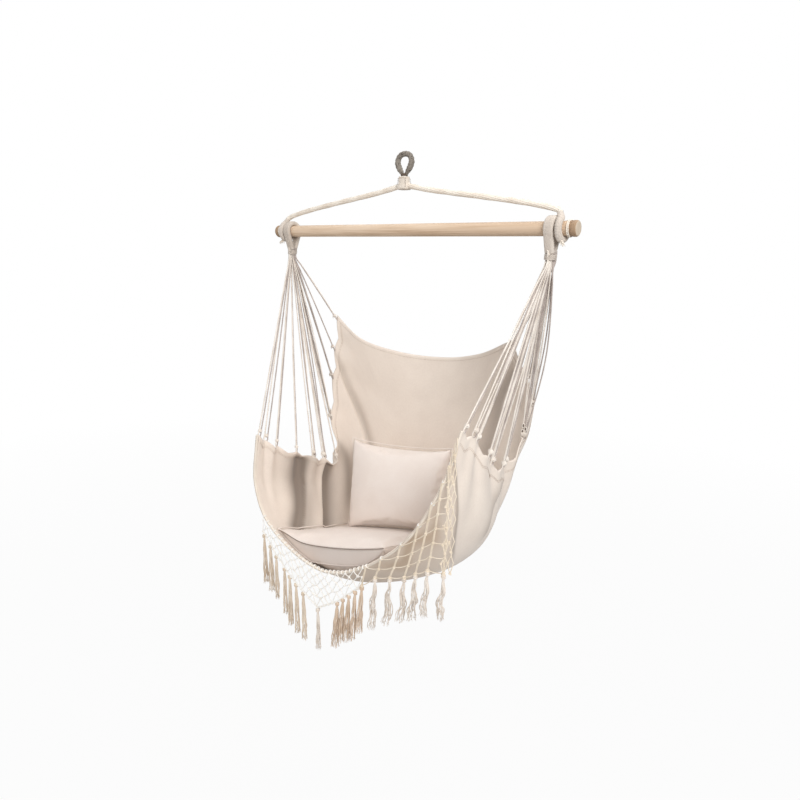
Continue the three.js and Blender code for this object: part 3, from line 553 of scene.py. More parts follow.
# Surfaces: sizes of noise in steps to the metre, bumps in metres, and how far each tone is mixed in
CLOTH_WEAVE = 0.0018
CANVAS_WEAVE = 0.0022
CLOTH_NOISE_SHARES = (0.6, 0.4)
CLOTH_RELIEF_SHARES = (0.6, 0.8)
CLOTH_SHEEN = {"Sheen Weight": 0.15, "Sheen Roughness": 0.6, "Specular IOR Level": 0.2}
BLOTCH_SCALE = 14.0
SLUB_SCALE = 160.0
SLUB_DETAIL = 2.0
SLUB_STRETCH = (1, 1, 9)
CLOTH_TONE_SPAN = (0.35, 0.65)
CLOTH_BUMP = (0.35, 0.0006)
CLOTH_ROUGHNESS = (0.86, 0.98)
COTTON_NOISE_SHARES = (0.55, 0.45)
COTTON_SHEEN = {"Sheen Weight": 0.12, "Specular IOR Level": 0.2}
STAIN_SCALE = 22.0
FIBRE_SCALE = 700.0
FIBRE_DETAIL = 2.0
COTTON_TONE_SPAN = (0.36, 0.62)
FLECK_SCALE = 260.0
FLECK_DETAIL = 1.0
FLECK_SPAN = (0.58, 0.68)
COTTON_BUMP = (0.4, 0.0005)
COTTON_ROUGHNESS = (0.82, 0.96)
GRAIN = {"stretch": (1.2, 55, 55), "scale": 6.0, "detail": 6.0}
BROAD_GRAIN = {"stretch": (2.2, 30, 30), "scale": 1.6, "detail": 3.0}
WOOD_NOISE_SHARES = (0.5, 0.5)
WOOD_SHEEN = {"Specular IOR Level": 0.35}
WOOD_STOPS = (0.34, 0.47, 0.66)
WOOD_BUMP = (0.25, 0.0004)
WOOD_ROUGHNESS = (0.5, 0.66)
# Share of painted shade at the bar's +X end
BAR_SHADE_SHARE = 0.6
TIP_SHADE_SHARE = 0.85
ROUGH_SPAN = (0.3, 0.7)

rng = random.Random(11)


# Geometry

class Shape:
    """Points in millimetres and faces, gathered from many pieces of one mesh."""

    def __init__(self):
        self.points = []
        self.faces = []
        self.texture = []
        self.count = 0

    def add(self, points, faces, texture=None):
        points = np.asarray(points, dtype=float)
        self.points.append(points)
        for group in faces:
            if len(group):
                self.faces.append(np.asarray(group, dtype=np.int32) + self.count)
        self.texture.append(np.zeros((len(points), 2)) if texture is None else texture)
        self.count += len(points)


def grid_faces(rows, columns, closed=False):
    step = np.arange(columns if closed else columns - 1)
    first = np.arange(rows - 1)[:, None] * columns
    a = first + step
    b = first + (step + 1) % columns
    return np.stack([a, b, b + columns, a + columns], axis=-1).reshape(-1, 4)


def mesh_of(name, shape):
    points = np.concatenate(shape.points) * MM
    points[:, 2] -= HANG_TO_BAR * MM
    corners = np.concatenate([group.ravel() for group in shape.faces])
    sizes = np.concatenate([np.full(len(group), group.shape[1]) for group in shape.faces])
    starts = np.concatenate([[0], np.cumsum(sizes)[:-1]])
    mesh = bpy.data.meshes.new(name)
    mesh.vertices.add(len(points))
    mesh.vertices.foreach_set("co", points.ravel())
    mesh.loops.add(len(corners))
    mesh.loops.foreach_set("vertex_index", corners.astype(np.int32))
    mesh.polygons.add(len(sizes))
    mesh.polygons.foreach_set("loop_start", starts.astype(np.int32))
    mesh.polygons.foreach_set("use_smooth", np.ones(len(sizes), dtype=bool))
    mesh.update(calc_edges=True)
    layer = mesh.uv_layers.new(name="cloth")
    layer.data.foreach_set("uv", (np.concatenate(shape.texture)[corners] * MM).ravel())
    mesh.validate()
    return mesh


def linked(thing):
    bpy.context.scene.collection.objects.link(thing)
    return thing


def piece(name, shape, look, body, replaced=()):
    """A mesh object of the chair that rides on a body."""
    thing = linked(bpy.data.objects.new(name, mesh_of(name, shape)))
    thing.data.materials.append(materials[look])
    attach(thing, body)
    if replaced:
        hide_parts(*replaced)
    return thing


def mark_points(thing, name, values):
    """Numbers from 0 to 1 on a mesh's points, for its material to read."""
    mark = thing.data.attributes.new(name, "FLOAT", "POINT")
    mark.data.foreach_set("value", np.asarray(values, dtype=np.float32))


def unit(vectors):
    length = np.linalg.norm(vectors, axis=-1, keepdims=True)
    return vectors / np.maximum(length, 1e-12)


def between(a, b, share):
    return a * (1 - share) + b * share


def scatter(*ranges):
    """A random vector, with nought where no range is given."""
    return np.array([rng.uniform(low, high) for low, high in ranges] + [0] * (3 - len(ranges)))


def smoothstep(x, low, high):
    t = np.clip((x - low) / (high - low), 0, 1)
    return t * t * (3 - 2 * t)


def span(x, start, full, fade, end):
    """1 from full to fade, and 0 before the start and after the end."""
    return smoothstep(x, start, full) * (1 - smoothstep(x, fade, end))


def dip(x, before, after):
    """1 at nought, falling off over the shares before and after it."""
    return np.exp(-(x / np.where(x < 0, before, after)) ** 2)


def boxed(values, power):
    return np.sign(values) * np.abs(values) ** power


def spline(points, shares):
    """Centripetal curve through points, read at shares from 0 to 1."""
    points = np.asarray(points, dtype=float)
    last = len(points) - 1
    padded = np.vstack([2 * points[0] - points[1], points, 2 * points[-1] - points[-2]])
    place = np.clip(np.asarray(shares, dtype=float), 0, 1) * last
    index = np.minimum(place.astype(int), last - 1)
    weight = (place - index)[:, None]
    p0, p1, p2, p3 = (padded[index + k] for k in range(4))
    pairs = ((p0, p1), (p1, p2), (p2, p3))
    d0, d1, d2 = (np.sqrt(np.linalg.norm(b - a, axis=1))[:, None] for a, b in pairs)
    d1 = np.where(d1 < 1e-4, 1, d1)
    d0 = np.where(d0 < 1e-4, d1, d0)
    d2 = np.where(d2 < 1e-4, d1, d2)
    t1 = ((p1 - p0) / d0 - (p2 - p0) / (d0 + d1) + (p2 - p1) / d1) * d1
    t2 = ((p2 - p1) / d1 - (p3 - p1) / (d1 + d2) + (p3 - p2) / d2) * d1
    c2 = -3 * p1 + 3 * p2 - 2 * t1 - t2
    c3 = 2 * p1 - 2 * p2 + t1 + t2
    return p1 + weight * (t1 + weight * (c2 + weight * c3))


def along(path):
    steps = np.linalg.norm(np.diff(path, axis=0), axis=1)
    return np.concatenate([[0], np.cumsum(steps)])


def read_at(places, travel, values):
    return np.stack([np.interp(places, travel, values[:, k]) for k in range(3)], axis=-1)


def even(path, step):
    """The same path with points a step apart."""
    travel = along(path)
    count = max(int(round(travel[-1] / step)), 2)
    return read_at(np.linspace(0, travel[-1], count + 1), travel, path)


def smooth(points, step, count=None):
    return even(spline(points, np.linspace(0, 1, count or SPLINE_STEPS * len(points))), step)


def directions(path):
    """Ways along, across and beside a path that turn no more than it does."""
    forward = unit(np.gradient(path, axis=0))
    start = np.array([0.0, 1.0, 0.0]) if abs(forward[0][2]) > 0.9 else np.array([0.0, 0.0, 1.0])
    side = np.cross(forward[0], start)
    sides = []
    for way in forward:
        side = side - way * np.dot(way, side)
        side = side / np.linalg.norm(side)
        sides.append(side)
    sides = np.array(sides)
    return forward, sides, np.cross(forward, sides)


def ringed(shape, rings, middles, flipped=False):
    """Closed body through rings of points, with a middle point for each end."""
    rows, sides = rings.shape[:2]
    count = rows * sides
    ring = np.arange(sides)
    after = (ring + 1) % sides
    start = np.stack([np.full(sides, count), after, ring], axis=1)
    end = np.stack([np.full(sides, count + 1), count - sides + ring, count - sides + after], axis=1)
    groups = [grid_faces(rows, sides, closed=True), start, end]
    points = np.vstack([rings.reshape(-1, 3), middles])
    shape.add(points, [group[:, ::-1] for group in groups] if flipped else groups)


def tube(shape, path, radius, sides, plies=0, lay=1.0, relief=0.0, phase=0.0):
    """Rope along a path; its section has one lobe for each ply, and turns once in a lay."""
    path = np.asarray(path, dtype=float)
    _, first, second = directions(path)
    angles = np.linspace(0, 2 * np.pi, sides, endpoint=False)
    turn = 2 * np.pi * along(path) / lay + phase
    size = np.broadcast_to(np.asarray(radius, dtype=float), (len(path),))[:, None]
    size = np.repeat(size, sides, axis=1)
    if plies:
        lobe = np.abs(np.sin(plies / 2 * (angles[None, :] - turn[:, None])))
        size = size * (1 - relief + relief * np.sqrt(lobe))
    rings = (path[:, None, :] + first[:, None, :] * (size * np.cos(angles))[..., None]
             + second[:, None, :] * (size * np.sin(angles))[..., None])
    ringed(shape, rings, [path[0], path[-1]])


def cord(shape, path, radius, twist, phase=0.0, sides=8, plies=2):
    tube(shape, path, radius, sides, plies, *twist, phase)


def turned(centre, first, second, angles):
    """Points round a centre, reaching as far along each of two ways as that way is long."""
    return centre + np.outer(np.cos(angles), first) + np.outer(np.sin(angles), second)


def lathe(shape, profile, sides):
    """Turned body along X from points [radius, place]."""
    profile = np.asarray(profile, dtype=float)
    angles = np.linspace(0, 2 * np.pi, sides, endpoint=False)
    rings = np.stack([np.repeat(profile[:, 1:], sides, axis=1), profile[:, :1] * np.cos(angles),
                      profile[:, :1] * np.sin(angles)], axis=-1)
    shape.add(rings.reshape(-1, 3), [grid_faces(len(profile), sides, closed=True)])


def blob(shape, centre, radii, sides, rings=7, way=None, lobes=0, relief=0.12):
    """Rounded lump, as of a knot, with lobes round it."""
    tilt = np.linspace(-np.pi / 2, np.pi / 2, rings)
    angles = np.linspace(0, 2 * np.pi, sides, endpoint=False)
    swell = 1 + (relief * np.cos(lobes * angles[None, :] + 2 * tilt[:, None]) if lobes else 0)
    x = radii[0] * np.cos(tilt)[:, None] * np.cos(angles) * swell
    y = radii[1] * np.cos(tilt)[:, None] * np.sin(angles) * swell
    z = np.repeat(radii[2] * np.sin(tilt)[:, None], sides, axis=1)
    points = np.stack([x, y, z], axis=-1).reshape(-1, 3)
    if way is not None:
        turn = Vector((0, 0, 1)).rotation_difference(Vector(way)).to_matrix()
        points = points @ np.array(turn).T
    shape.add(points + np.asarray(centre, dtype=float), [grid_faces(rings, sides, closed=True)])


def rim_indices(rows, columns):
    """Places round the rim of a grid, once round and back to the first."""
    first = np.arange(columns)
    return np.concatenate([first, np.arange(1, rows) * columns + columns - 1,
                           (rows - 1) * columns + first[::-1][1:], np.arange(rows - 2, -1, -1) * columns])


def slab(shape, inside, outside, texture=None):
    """Closed sheet between two grids of points of one size."""
    rows, columns = inside.shape[:2]
    count = rows * columns
    points = np.vstack([inside.reshape(-1, 3), outside.reshape(-1, 3)])
    top = grid_faces(rows, columns)
    rim = rim_indices(rows, columns)
    a, b = rim[:-1], rim[1:]
    edge = np.stack([a, a + count, b + count, b], axis=1)
    if texture is not None:
        texture = np.vstack([texture.reshape(-1, 2)] * 2)
    shape.add(points, [top, top[:, ::-1] + count, edge], texture)


def stitches(shape, path, lift, step, length, thickness):
    """Row of stitches along a path, raised along the given ways."""
    travel = along(path)
    heights = np.array([0.0, STITCH_RISE_SHARE, 0.0])[:, None] * thickness
    for place in np.arange(step / 2, travel[-1] - length, step):
        ends = [place, place + length / 2, place + length]
        points = read_at(ends, travel, path) + unit(read_at(ends, travel, lift)) * heights
        tube(shape, points, thickness / 2, sides=5)


def stitched(shape, path, ways, height):
    """Rows of stitches on both sides of a path."""
    for side in (1, -1):
        stitches(shape, path + ways * height * side, ways * side, *STITCHES)


# Canvas

SCALE = np.array([HALF_WIDTH, HALF_DEPTH, -DROP])
SECTIONS = [np.array(section) * SCALE for section in SECTION_SHARES]


def smooth_canvas(us, vs):
    rows = np.stack([spline(section, us) for section in SECTIONS])
    return np.stack([spline(rows[:, k], vs) for k in range(len(us))], axis=1)


def fold_height(u, v):
    """Folds that fade inwards from the side hems."""
    fade = np.maximum(1 - np.minimum(u, 1 - u) / FOLD_REACH_SHARE, 0)
    depth = np.where(u < 0.5, LEFT_FOLD_DEPTH, RIGHT_FOLD_DEPTH)
    count = np.where(u < 0.5, LEFT_FOLDS, RIGHT_FOLDS)
    return depth * fade * fade * span(v, *FOLD_SPAN_SHARES) * np.sin(2 * np.pi * count * v)


def canvas_normals(us, vs):
    du = smooth_canvas(us + HAIR_SHARE, vs) - smooth_canvas(us - HAIR_SHARE, vs)
    dv = smooth_canvas(us, vs + HAIR_SHARE) - smooth_canvas(us, vs - HAIR_SHARE)
    return unit(np.cross(du, dv))


def canvas_point(u, v):
    us, vs = np.array([u]), np.array([v])
    return smooth_canvas(us, vs)[0, 0] + canvas_normals(us, vs)[0, 0] * fold_height(u, v)


def canvas_way(a, b):
    return unit(canvas_point(*b) - canvas_point(*a))


def outward(way, edge):
    return unit(way - edge * np.dot(way, edge))


def nearest_station(v):
    """Share from 0 at a cord to 1 halfway to the next, at each height along a side hem."""
    stations = np.array(CORD_STATION_SHARES)
    place = np.interp(v, stations, np.arange(len(stations)))
    return np.abs(place - np.round(place)) * 2


def canvas_grid(across, length):
    """Middle surface of the hung cloth with its folds, hems drawn in between the cords, and creases."""
    us = np.linspace(0, 1, across)
    vs = np.linspace(0, 1, length)
    base = smooth_canvas(us, vs)
    normals = canvas_normals(us, vs)
    u, v = np.meshgrid(us, vs)
    cloth_along = np.stack([along(row) for row in base])
    from_edge = np.minimum(cloth_along, cloth_along[:, -1:] - cloth_along)
    scallop = nearest_station(v) ** SCALLOP_POWER * np.exp(-from_edge / SCALLOP_REACH) * SCALLOP_DEPTH
    inwards = unit(np.gradient(base, axis=1)) * np.where(u < 0.5, 1, -1)[..., None]
    pull = np.exp(-from_edge / PUCKER_REACH) * (1 - np.exp(-from_edge / PUCKER_INSET))
    pucker = PUCKER_DEPTH * pull * np.cos(np.pi * nearest_station(v))
    points = base + normals * (fold_height(u, v) + pucker + soft_creases(u, v))[..., None]
    return points + inwards * scallop[..., None], normals, from_edge


def plumb(u, v):
    """Place along the left hem that a pleat hangs from."""
    bend, start, reach, power = PLEAT_BEND_SHARES
    return v + bend * (np.maximum(u - start, 0) / reach) ** power


def pleat_share(u, v):
    """1 in the two deep pleats that hang plumb beside a raised box pleat below the left hem."""
    wide, less, start, full = GROOVE_BEFORE_SHARES
    before = wide - less * smoothstep(u, start, full)
    first = dip(plumb(u, v) - PLEAT_PLACE_SHARES[0], before, GROOVE_AFTER_SHARE)
    second = dip(plumb(u, v) - PLEAT_PLACE_SHARES[1], *GROOVE_TWO_SHARES)
    return (first + second) * span(u, *PLEAT_SPAN_SHARES)


def shaded_share(u, v):
    """Soft shade on the raised pleat, beside the first groove."""
    least, more, start, full = SHADE_SHARES
    shade = dip(plumb(u, v) - PLEAT_PLACE_SHARES[0] - SHADE_WIDTH_SHARES[0], *SHADE_WIDTH_SHARES)
    return shade * (least + more * smoothstep(u, start, full)) * (1 - smoothstep(u, *SHADE_END_SHARES))


def corner_share(u, v):
    """1 along the corner where the left wall turns into the back, where shade is painted."""
    return dip(plumb(u, v) - PLEAT_PLACE_SHARES[2], *CORNER_WIDTH_SHARES) * span(u, *CORNER_SPAN_SHARES)


def back_fold_share(u, v):
    """1 in the fold that runs down the right of the back behind the cords."""
    start, slope, level, bend, low = BACK_FOLD_LINE_SHARES
    off = u - start - slope * (v - level) - bend * np.maximum(v - low, 0) ** 2
    return dip(off, *BACK_FOLD_WIDTH_SHARES) * span(v, *BACK_FOLD_SPAN_SHARES)


def side_fold_share(u, v):
    """1 in the narrow fold that runs down the right wall beside the net."""
    slope, start, lift = SIDE_FOLD_LINE_SHARES
    return dip(v + lift - slope * (start - u), *SIDE_FOLD_WIDTH_SHARES) * span(u, *SIDE_FOLD_SPAN_SHARES)


def under_net_share(u, v):
    """1 where the net hangs before the sling's outside, as painted shade, strongest in a strip just below the
    front hem.
    """
    slope, start, _ = SIDE_FOLD_LINE_SHARES
    low, soft = UNDER_NET_EDGE_SHARES
    less, fade, gone = UNDER_NET_FADE_SHARES
    edge = slope * (start - np.clip(u, low, start))
    region = smoothstep(u, *UNDER_NET_FROM_SHARES) * (1 - smoothstep(v, edge - soft, edge))
    level, sway, waves, least = UNDER_NET_DEEP_SHARES
    deep = dip(v - level - sway * np.sin(u * waves), *UNDER_NET_DEEP_WIDTH_SHARES)
    tone = least + (1 - least) * deep * smoothstep(u, *UNDER_NET_DEEP_FROM_SHARES)
    return region * (1 - less * smoothstep(u, fade, gone)) * tone


def drop_share(u, v):
    """1 in the slack fold that runs down the back from its left edge to the cushion."""
    start, slope, level = DROP_LINE_SHARES
    return dip(u - start - slope * (level - v), *DROP_WIDTH_SHARES) * span(v, *DROP_SPAN_SHARES)


def slant_share(u, v):
    """1 in the fold that runs down the right wall from its hem."""
    low, bend, place = SLANT_LINE_SHARES
    return dip(v - low - bend * (u - place) ** 2, *SLANT_WIDTH_SHARES) * span(u, *SLANT_SPAN_SHARES)


def soft_creases(u, v):
    """Pleats below the side hems, and low, wide waves where the cloth hangs slack."""
    across, skew, down, start = WAVE_SHARES
    waves = WAVE_DEPTH * np.sin(across * u + skew * v) * np.sin(down * v + start)
    waves = waves * smoothstep(np.minimum(u, 1 - u), *WAVE_EDGE_SHARES)
    creases = ((PLEAT_DEPTH, pleat_share), (DROP_DEPTH, drop_share), (BACK_FOLD_DEPTH, back_fold_share),
               (SLANT_DEPTH, slant_share), (SIDE_FOLD_DEPTH, side_fold_share))
    return waves - sum(depth * share(u, v) for depth, share in creases)


def cloth_texture(points):
    across = np.stack([along(row) for row in points])
    down = np.stack([along(points[:, k]) for k in range(points.shape[1])], axis=1)
    return np.stack([across - across[:, -1:] / 2, down], axis=-1)


# Materials

def fill_in(tree, node, values):
    """Gives each input of a node a value or the output of another node."""
    for key, value in values.items():
        if isinstance(value, bpy.types.NodeSocket):
            tree.links.new(value, node.inputs[key])
        else:
            node.inputs[key].default_value = value
    return node


def node_of(tree, kind, values, **settings):
    node = tree.nodes.new("ShaderNode" + kind)
    for name, value in settings.items():
        setattr(node, name, value)
    return fill_in(tree, node, values)


def empty_tree(owner):
    owner.use_nodes = True
    owner.node_tree.nodes.clear()
    return owner.node_tree


def linear(color):
    shares = [level / 255 for level in color]
    return tuple(s / 12.92 if s <= 0.04045 else ((s + 0.055) / 1.055) ** 2.4 for s in shares)


def mapped(tree, source, scale=(1, 1, 1)):
    place = node_of(tree, "TexCoord", {}).outputs[source]
    return node_of(tree, "Mapping", {"Vector": place, "Scale": scale}).outputs["Vector"]


def noise_of(tree, vector, scale, detail=3.0):
    return node_of(tree, "TexNoise", {"Vector": vector, "Scale": scale, "Detail": detail}).outputs["Fac"]


def wave_of(tree, vector, period, direction):
    values = {"Vector": vector, "Scale": math.pi / 10 / period, "Distortion": 0.6, "Detail": 1.0}
    return node_of(tree, "TexWave", values, bands_direction=direction).outputs["Fac"]


def blended(tree, amount, low, high):
    """Mix of two colours, each an output or a tone from 0 to 255."""
    low, high = (c if isinstance(c, bpy.types.NodeSocket) else (*linear(c), 1) for c in (low, high))
    return node_of(tree, "Mix", {0: amount, 6: low, 7: high}, data_type="RGBA").outputs[2]


def spread(tree, value, low, high, to_low=0.0, to_high=1.0):
    values = {"Value": value, "From Min": low, "From Max": high, "To Min": to_low, "To Max": to_high}
    return node_of(tree, "MapRange", values).outputs["Result"]


def combined(tree, operation, a, b):
    return node_of(tree, "Math", {0: a, 1: b}, operation=operation).outputs[0]


def summed(tree, outputs, shares):
    parts = [combined(tree, "MULTIPLY", output, share) for output, share in zip(outputs, shares)]
    return combined(tree, "ADD", *parts)


def surface(name, build, sheen):
    """Material whose colour, height and fine noise are built by a function of its node tree."""
    material = bpy.data.materials.new(name)
    tree = empty_tree(material)
    color, height, fine, (strength, distance), roughness = build(tree)
    bump = node_of(tree, "Bump", {"Strength": strength, "Distance": distance, "Height": height})
    values = {"Base Color": color, "Normal": bump.outputs["Normal"],
              "Roughness": spread(tree, fine, *ROUGH_SPAN, *roughness)}
    shader = node_of(tree, "BsdfPrincipled", {**values, **sheen})
    node_of(tree, "OutputMaterial", {"Surface": shader.outputs["BSDF"]})
    return material


def woven(name, color, shade, source="Object", period=CLOTH_WEAVE, ways="XZ"):
    """Plain weave with slubs, soft blotches and a dusty sheen."""
    def build(tree):
        vector = mapped(tree, source)
        blotch = noise_of(tree, vector, BLOTCH_SCALE)
        slub = noise_of(tree, mapped(tree, source, SLUB_STRETCH), SLUB_SCALE, SLUB_DETAIL)
        mixed = spread(tree, summed(tree, (blotch, slub), CLOTH_NOISE_SHARES), *CLOTH_TONE_SPAN)
        weave = combined(tree, "MULTIPLY", *(wave_of(tree, vector, period, way) for way in ways))
        height = summed(tree, (weave, slub), CLOTH_RELIEF_SHARES)
        return blended(tree, mixed, shade, color), height, slub, CLOTH_BUMP, CLOTH_ROUGHNESS

    return surface(name, build, CLOTH_SHEEN)


def toned(name, mark, color, share):
    """Blends a darker tone, as painted shade, into the places that the cloth marks."""
    tree = materials[name].node_tree
    shader = next(node for node in tree.nodes if node.type == "BSDF_PRINCIPLED")
    base = shader.inputs["Base Color"].links[0].from_socket
    places = node_of(tree, "Attribute", {}, attribute_name=mark)
    amount = combined(tree, "MULTIPLY", places.outputs["Fac"], share)
    fill_in(tree, shader, {"Base Color": blended(tree, amount, base, color)})


def spun(name, color, shade, fleck=None):
    """Twisted cotton: fine fibres, soft stains and darker flecks."""
    def build(tree):
        vector = mapped(tree, "Object")
        stain = noise_of(tree, vector, STAIN_SCALE)
        fibre = noise_of(tree, vector, FIBRE_SCALE, FIBRE_DETAIL)
        mixed = spread(tree, summed(tree, (stain, fibre), COTTON_NOISE_SHARES), *COTTON_TONE_SPAN)
        base = blended(tree, mixed, shade, color)
        if fleck:
            spot = spread(tree, noise_of(tree, vector, FLECK_SCALE, FLECK_DETAIL), *FLECK_SPAN)
            base = blended(tree, spot, base, fleck)
        return base, fibre, fibre, COTTON_BUMP, COTTON_ROUGHNESS

    return surface(name, build, COTTON_SHEEN)


def grain_of(tree, grain):
    return noise_of(tree, mapped(tree, "Object", grain["stretch"]), grain["scale"], grain["detail"])


def grained(tree):
    """Pale hardwood with grain along the bar, darker tips and paler end faces, and painted shade that darkens
    it towards its +X end.
    """
    fine, broad = grain_of(tree, GRAIN), grain_of(tree, BROAD_GRAIN)
    ramp = node_of(tree, "ValToRGB", {"Fac": summed(tree, (fine, broad), WOOD_NOISE_SHARES)})
    stops = ramp.color_ramp.elements
    places = (stops[0], stops.new(WOOD_STOPS[1]), stops[-1])
    for stop, place, tone in zip(places, WOOD_STOPS, ("dark", "middle", "light")):
        stop.position = place
        stop.color = (*linear(WOOD_TONES[tone]), 1)
    x = node_of(tree, "SeparateXYZ", {"Vector": mapped(tree, "Object")}).outputs["X"]
    out = combined(tree, "ABSOLUTE", x, 0.0)
    half = BAR_LENGTH / 2 * MM
    # Painted shade: the bar darkens towards its +X end.
    far = spread(tree, x, 0.0, half, 0.0, BAR_SHADE_SHARE)
    tip = spread(tree, out, half - TIP_SHADE_EDGE * MM, half - TIP_SHADE * MM, 0.0, TIP_SHADE_SHARE)
    end = spread(tree, out, half - END_SHADE_EDGE * MM, half - END_SHADE * MM)
    base = ramp.outputs["Color"]
    for amount, tone in ((far, "dark"), (tip, "tip"), (end, "end")):
        base = blended(tree, amount, base, WOOD_TONES[tone])
    return base, fine, fine, WOOD_BUMP, WOOD_ROUGHNESS


materials = {name: woven(name, *tones) for name, tones in CLOTH_TONES.items()}
materials["canvas_cloth"] = woven("canvas_cloth", *CANVAS_TONES, "UV", CANVAS_WEAVE, "XY")
materials.update((name, spun(name, *tones)) for name, tones in COTTON_TONES.items())
materials["bar_wood"] = surface("bar_wood", grained, WOOD_SHEEN)
for shade_tone in PAINTED_SHADE_TONES:
    toned(*shade_tone)


# Hanging eye and sleeve

def eye_loop():
    half = (EYE_WIDTH - EYE_ROPE) / 2
    top = EYE_ROPE / 2
    foot = EYE_ROPE - EYE_HEIGHT
    side = [(half * x, 0, top - (top - foot) * z) for x, z in EYE_SIDE_SHARES]
    side.append((EYE_FOOT_SPREAD / 2, 0, foot))
    path = smooth([(-x, y, z) for x, y, z in side[:0:-1]] + side, EYE_STEP)
    path[:, 2] += HANG_TO_BAR
    share = np.linspace(0, 1, len(path))
    from_foot = np.minimum(share, 1 - share)
    radius = between(EYE_FOOT_ROPE, EYE_ROPE, np.minimum(from_foot / EYE_TAPER_SHARE, 1)) / 2
    leg = EYE_LEG_SWELL_SHARE * dip(from_foot - EYE_LEG_SHARE, EYE_TAPER_SHARE, EYE_TAPER_SHARE)
    shape = Shape()
    cord(shape, path, radius * (EYE_SWELL_SHARE + leg), EYE_TWIST, sides=18)
    foot += HANG_TO_BAR
    stem = np.linspace((0, 0, foot + EYE_FOOT_ROPE / 2), (0, 0, foot - EYE_STEM_LENGTH + EYE_STEM_INSET),
                       EYE_STEM_STEPS)
    shares = np.interp(np.linspace(0, 1, EYE_STEM_STEPS), EYE_STEM_PLACE_SHARES, EYE_STEM_RADIUS_SHARES)
    cord(shape, stem, shares * EYE_STEM, EYE_STEM_TWIST, sides=18)
    piece("eye_loop", shape, "eye_rope", "eye", ["hanging_eye"])
    collar = Shape()
    reach = EYE_STEM / 2 + COLLAR_REACH
    angle = np.linspace(0, 2 * np.pi * COLLAR_TURNS, COLLAR_STEPS)
    coil = turned(np.zeros(3), [reach, 0, 0], [0, reach, 0], angle)
    coil[:, 2] = foot + angle * COLLAR_CLIMB - COLLAR_DROP
    tube(collar, coil, COLLAR_THREAD / 2, sides=6)
    piece("eye_collar", collar, "dark_thread_and_shade", "eye")


def sleeve_half(level):
    return np.interp(level, [0, 0.5, 1], [SLEEVE_TOP, SLEEVE_TOP * SLEEVE_BELLY_SHARE, SLEEVE_FOOT]) / 2


def sleeve_ring(level, top, angles):
    """Rounded square section of the sleeve, with its wrinkles."""
    half = sleeve_half(level) * np.interp(level, SLEEVE_ROUND_PLACE_SHARES, SLEEVE_ROUND_SHARES)
    wrinkle = 1 + sum(depth * np.sin(round_count * angles + climb * level)
                      for depth, round_count, climb in SLEEVE_WRINKLE_SHARES)
    x = half * boxed(np.cos(angles), SLEEVE_BOX_SHARE) * wrinkle
    y = half * SLEEVE_FLATNESS_SHARE * boxed(np.sin(angles), SLEEVE_BOX_SHARE) * wrinkle
    return np.stack([x, y, np.full(len(angles), top - level * SLEEVE_LENGTH)], axis=1)


def sleeve():
    top = HANG_TO_BAR + EYE_ROPE - EYE_HEIGHT - SLEEVE_TOP_GAP
    low = top - SLEEVE_LENGTH + SLEEVE_UNDER_DEPTH
    angles = np.linspace(0, 2 * np.pi, SLEEVE_SIDES, endpoint=False)
    rings = [sleeve_ring(level, top, angles) for level in np.linspace(0, 1, SLEEVE_ROWS)]
    lip = rings[0] * SLEEVE_MOUTH_SHARE
    lip[:, 2] = top - SLEEVE_MOUTH_LIP
    under = rings[-1] * SLEEVE_UNDER_SHARE
    under[:, 2] = low
    shape = Shape()
    middles = [[0, 0, top - SLEEVE_MOUTH_DEPTH], [0, 0, low]]
    ringed(shape, np.array([lip] + rings + [under]), middles, flipped=True)
    piece("sleeve_cover", shape, "sleeve_cloth", "spreader", ["eye_sleeve"])
    sewing = Shape()
    half = sleeve_half(np.linspace(0, 1, SLEEVE_SEAM_STEPS))
    heights = np.linspace(top - SLEEVE_SEAM_INSET, top - SLEEVE_LENGTH + SLEEVE_SEAM_INSET, SLEEVE_SEAM_STEPS)
    for side in (-1, 1):
        for face in (-1, 1):
            x = side * half * SLEEVE_SEAM_ACROSS_SHARE
            y = face * half * SLEEVE_FLATNESS_SHARE * SLEEVE_SEAM_DEEP_SHARE
            ways = np.stack([x, y, np.zeros(len(x))], axis=1)
            stitches(sewing, np.stack([x, y, heights], axis=1), ways, *SLEEVE_STITCHES)
    piece("sleeve_stitches", sewing, "dark_thread_and_shade", "spreader")
    band = Shape()
    line = rings[1] * [SLEEVE_BAND_SHARE, SLEEVE_BAND_SHARE, 1] - [0, 0, SLEEVE_SEAM_INSET]
    tube(band, line, SLEEVE_BAND / 2, sides=6)
    piece("sleeve_hem", band, "thread", "spreader")


# Bar and top ropes

def bar():
    radius = BAR / 2
    tip = BAR_TIP / 2
    half = BAR_LENGTH / 2
    shoulder = half - BAR_TIP_LENGTH
    rounded = [(tip - BAR_TIP_ROUNDING * (1 - math.cos(a)) * BAR_TIP_ROUNDING_SHARE,
                half - BAR_TIP_ROUNDING * (1 - math.sin(a))) for a in np.linspace(0, np.pi / 2, 7)]
    right = [(radius, shoulder), (tip * BAR_TIP_EDGE_SHARE, shoulder + BAR_TIP_SHOULDER),
             (tip, shoulder + BAR_TIP_SHOULDER * 3)]
    right += rounded + [(tip / 2, half), (BAR_BORE, half)]
    middle = [(radius, x) for x in np.linspace(0, shoulder - BAR_STEP_INSET, BAR_STEPS)]
    shape = Shape()
    lathe(shape, [(r, -x) for r, x in (middle + right)[:0:-1]] + middle + right, BAR_SIDES)
    points = shape.points[0]
    x, y, z = (points[:, k] / BAR_WOBBLE_LENGTHS[k] for k in range(3))
    points[:, 1:] *= (1 + BAR_WOBBLE_SHARE * np.sin(x) * np.sin(y + z))[:, None]
    piece("bar", shape, "bar_wood", "spreader", ["spreader_bar"])


CLEW_PLACE = BAR_LENGTH / 2 - CLEW_INSET
ROPE_TURN_PLACE = BAR_LENGTH / 2 - ROPE_TURN_INSET


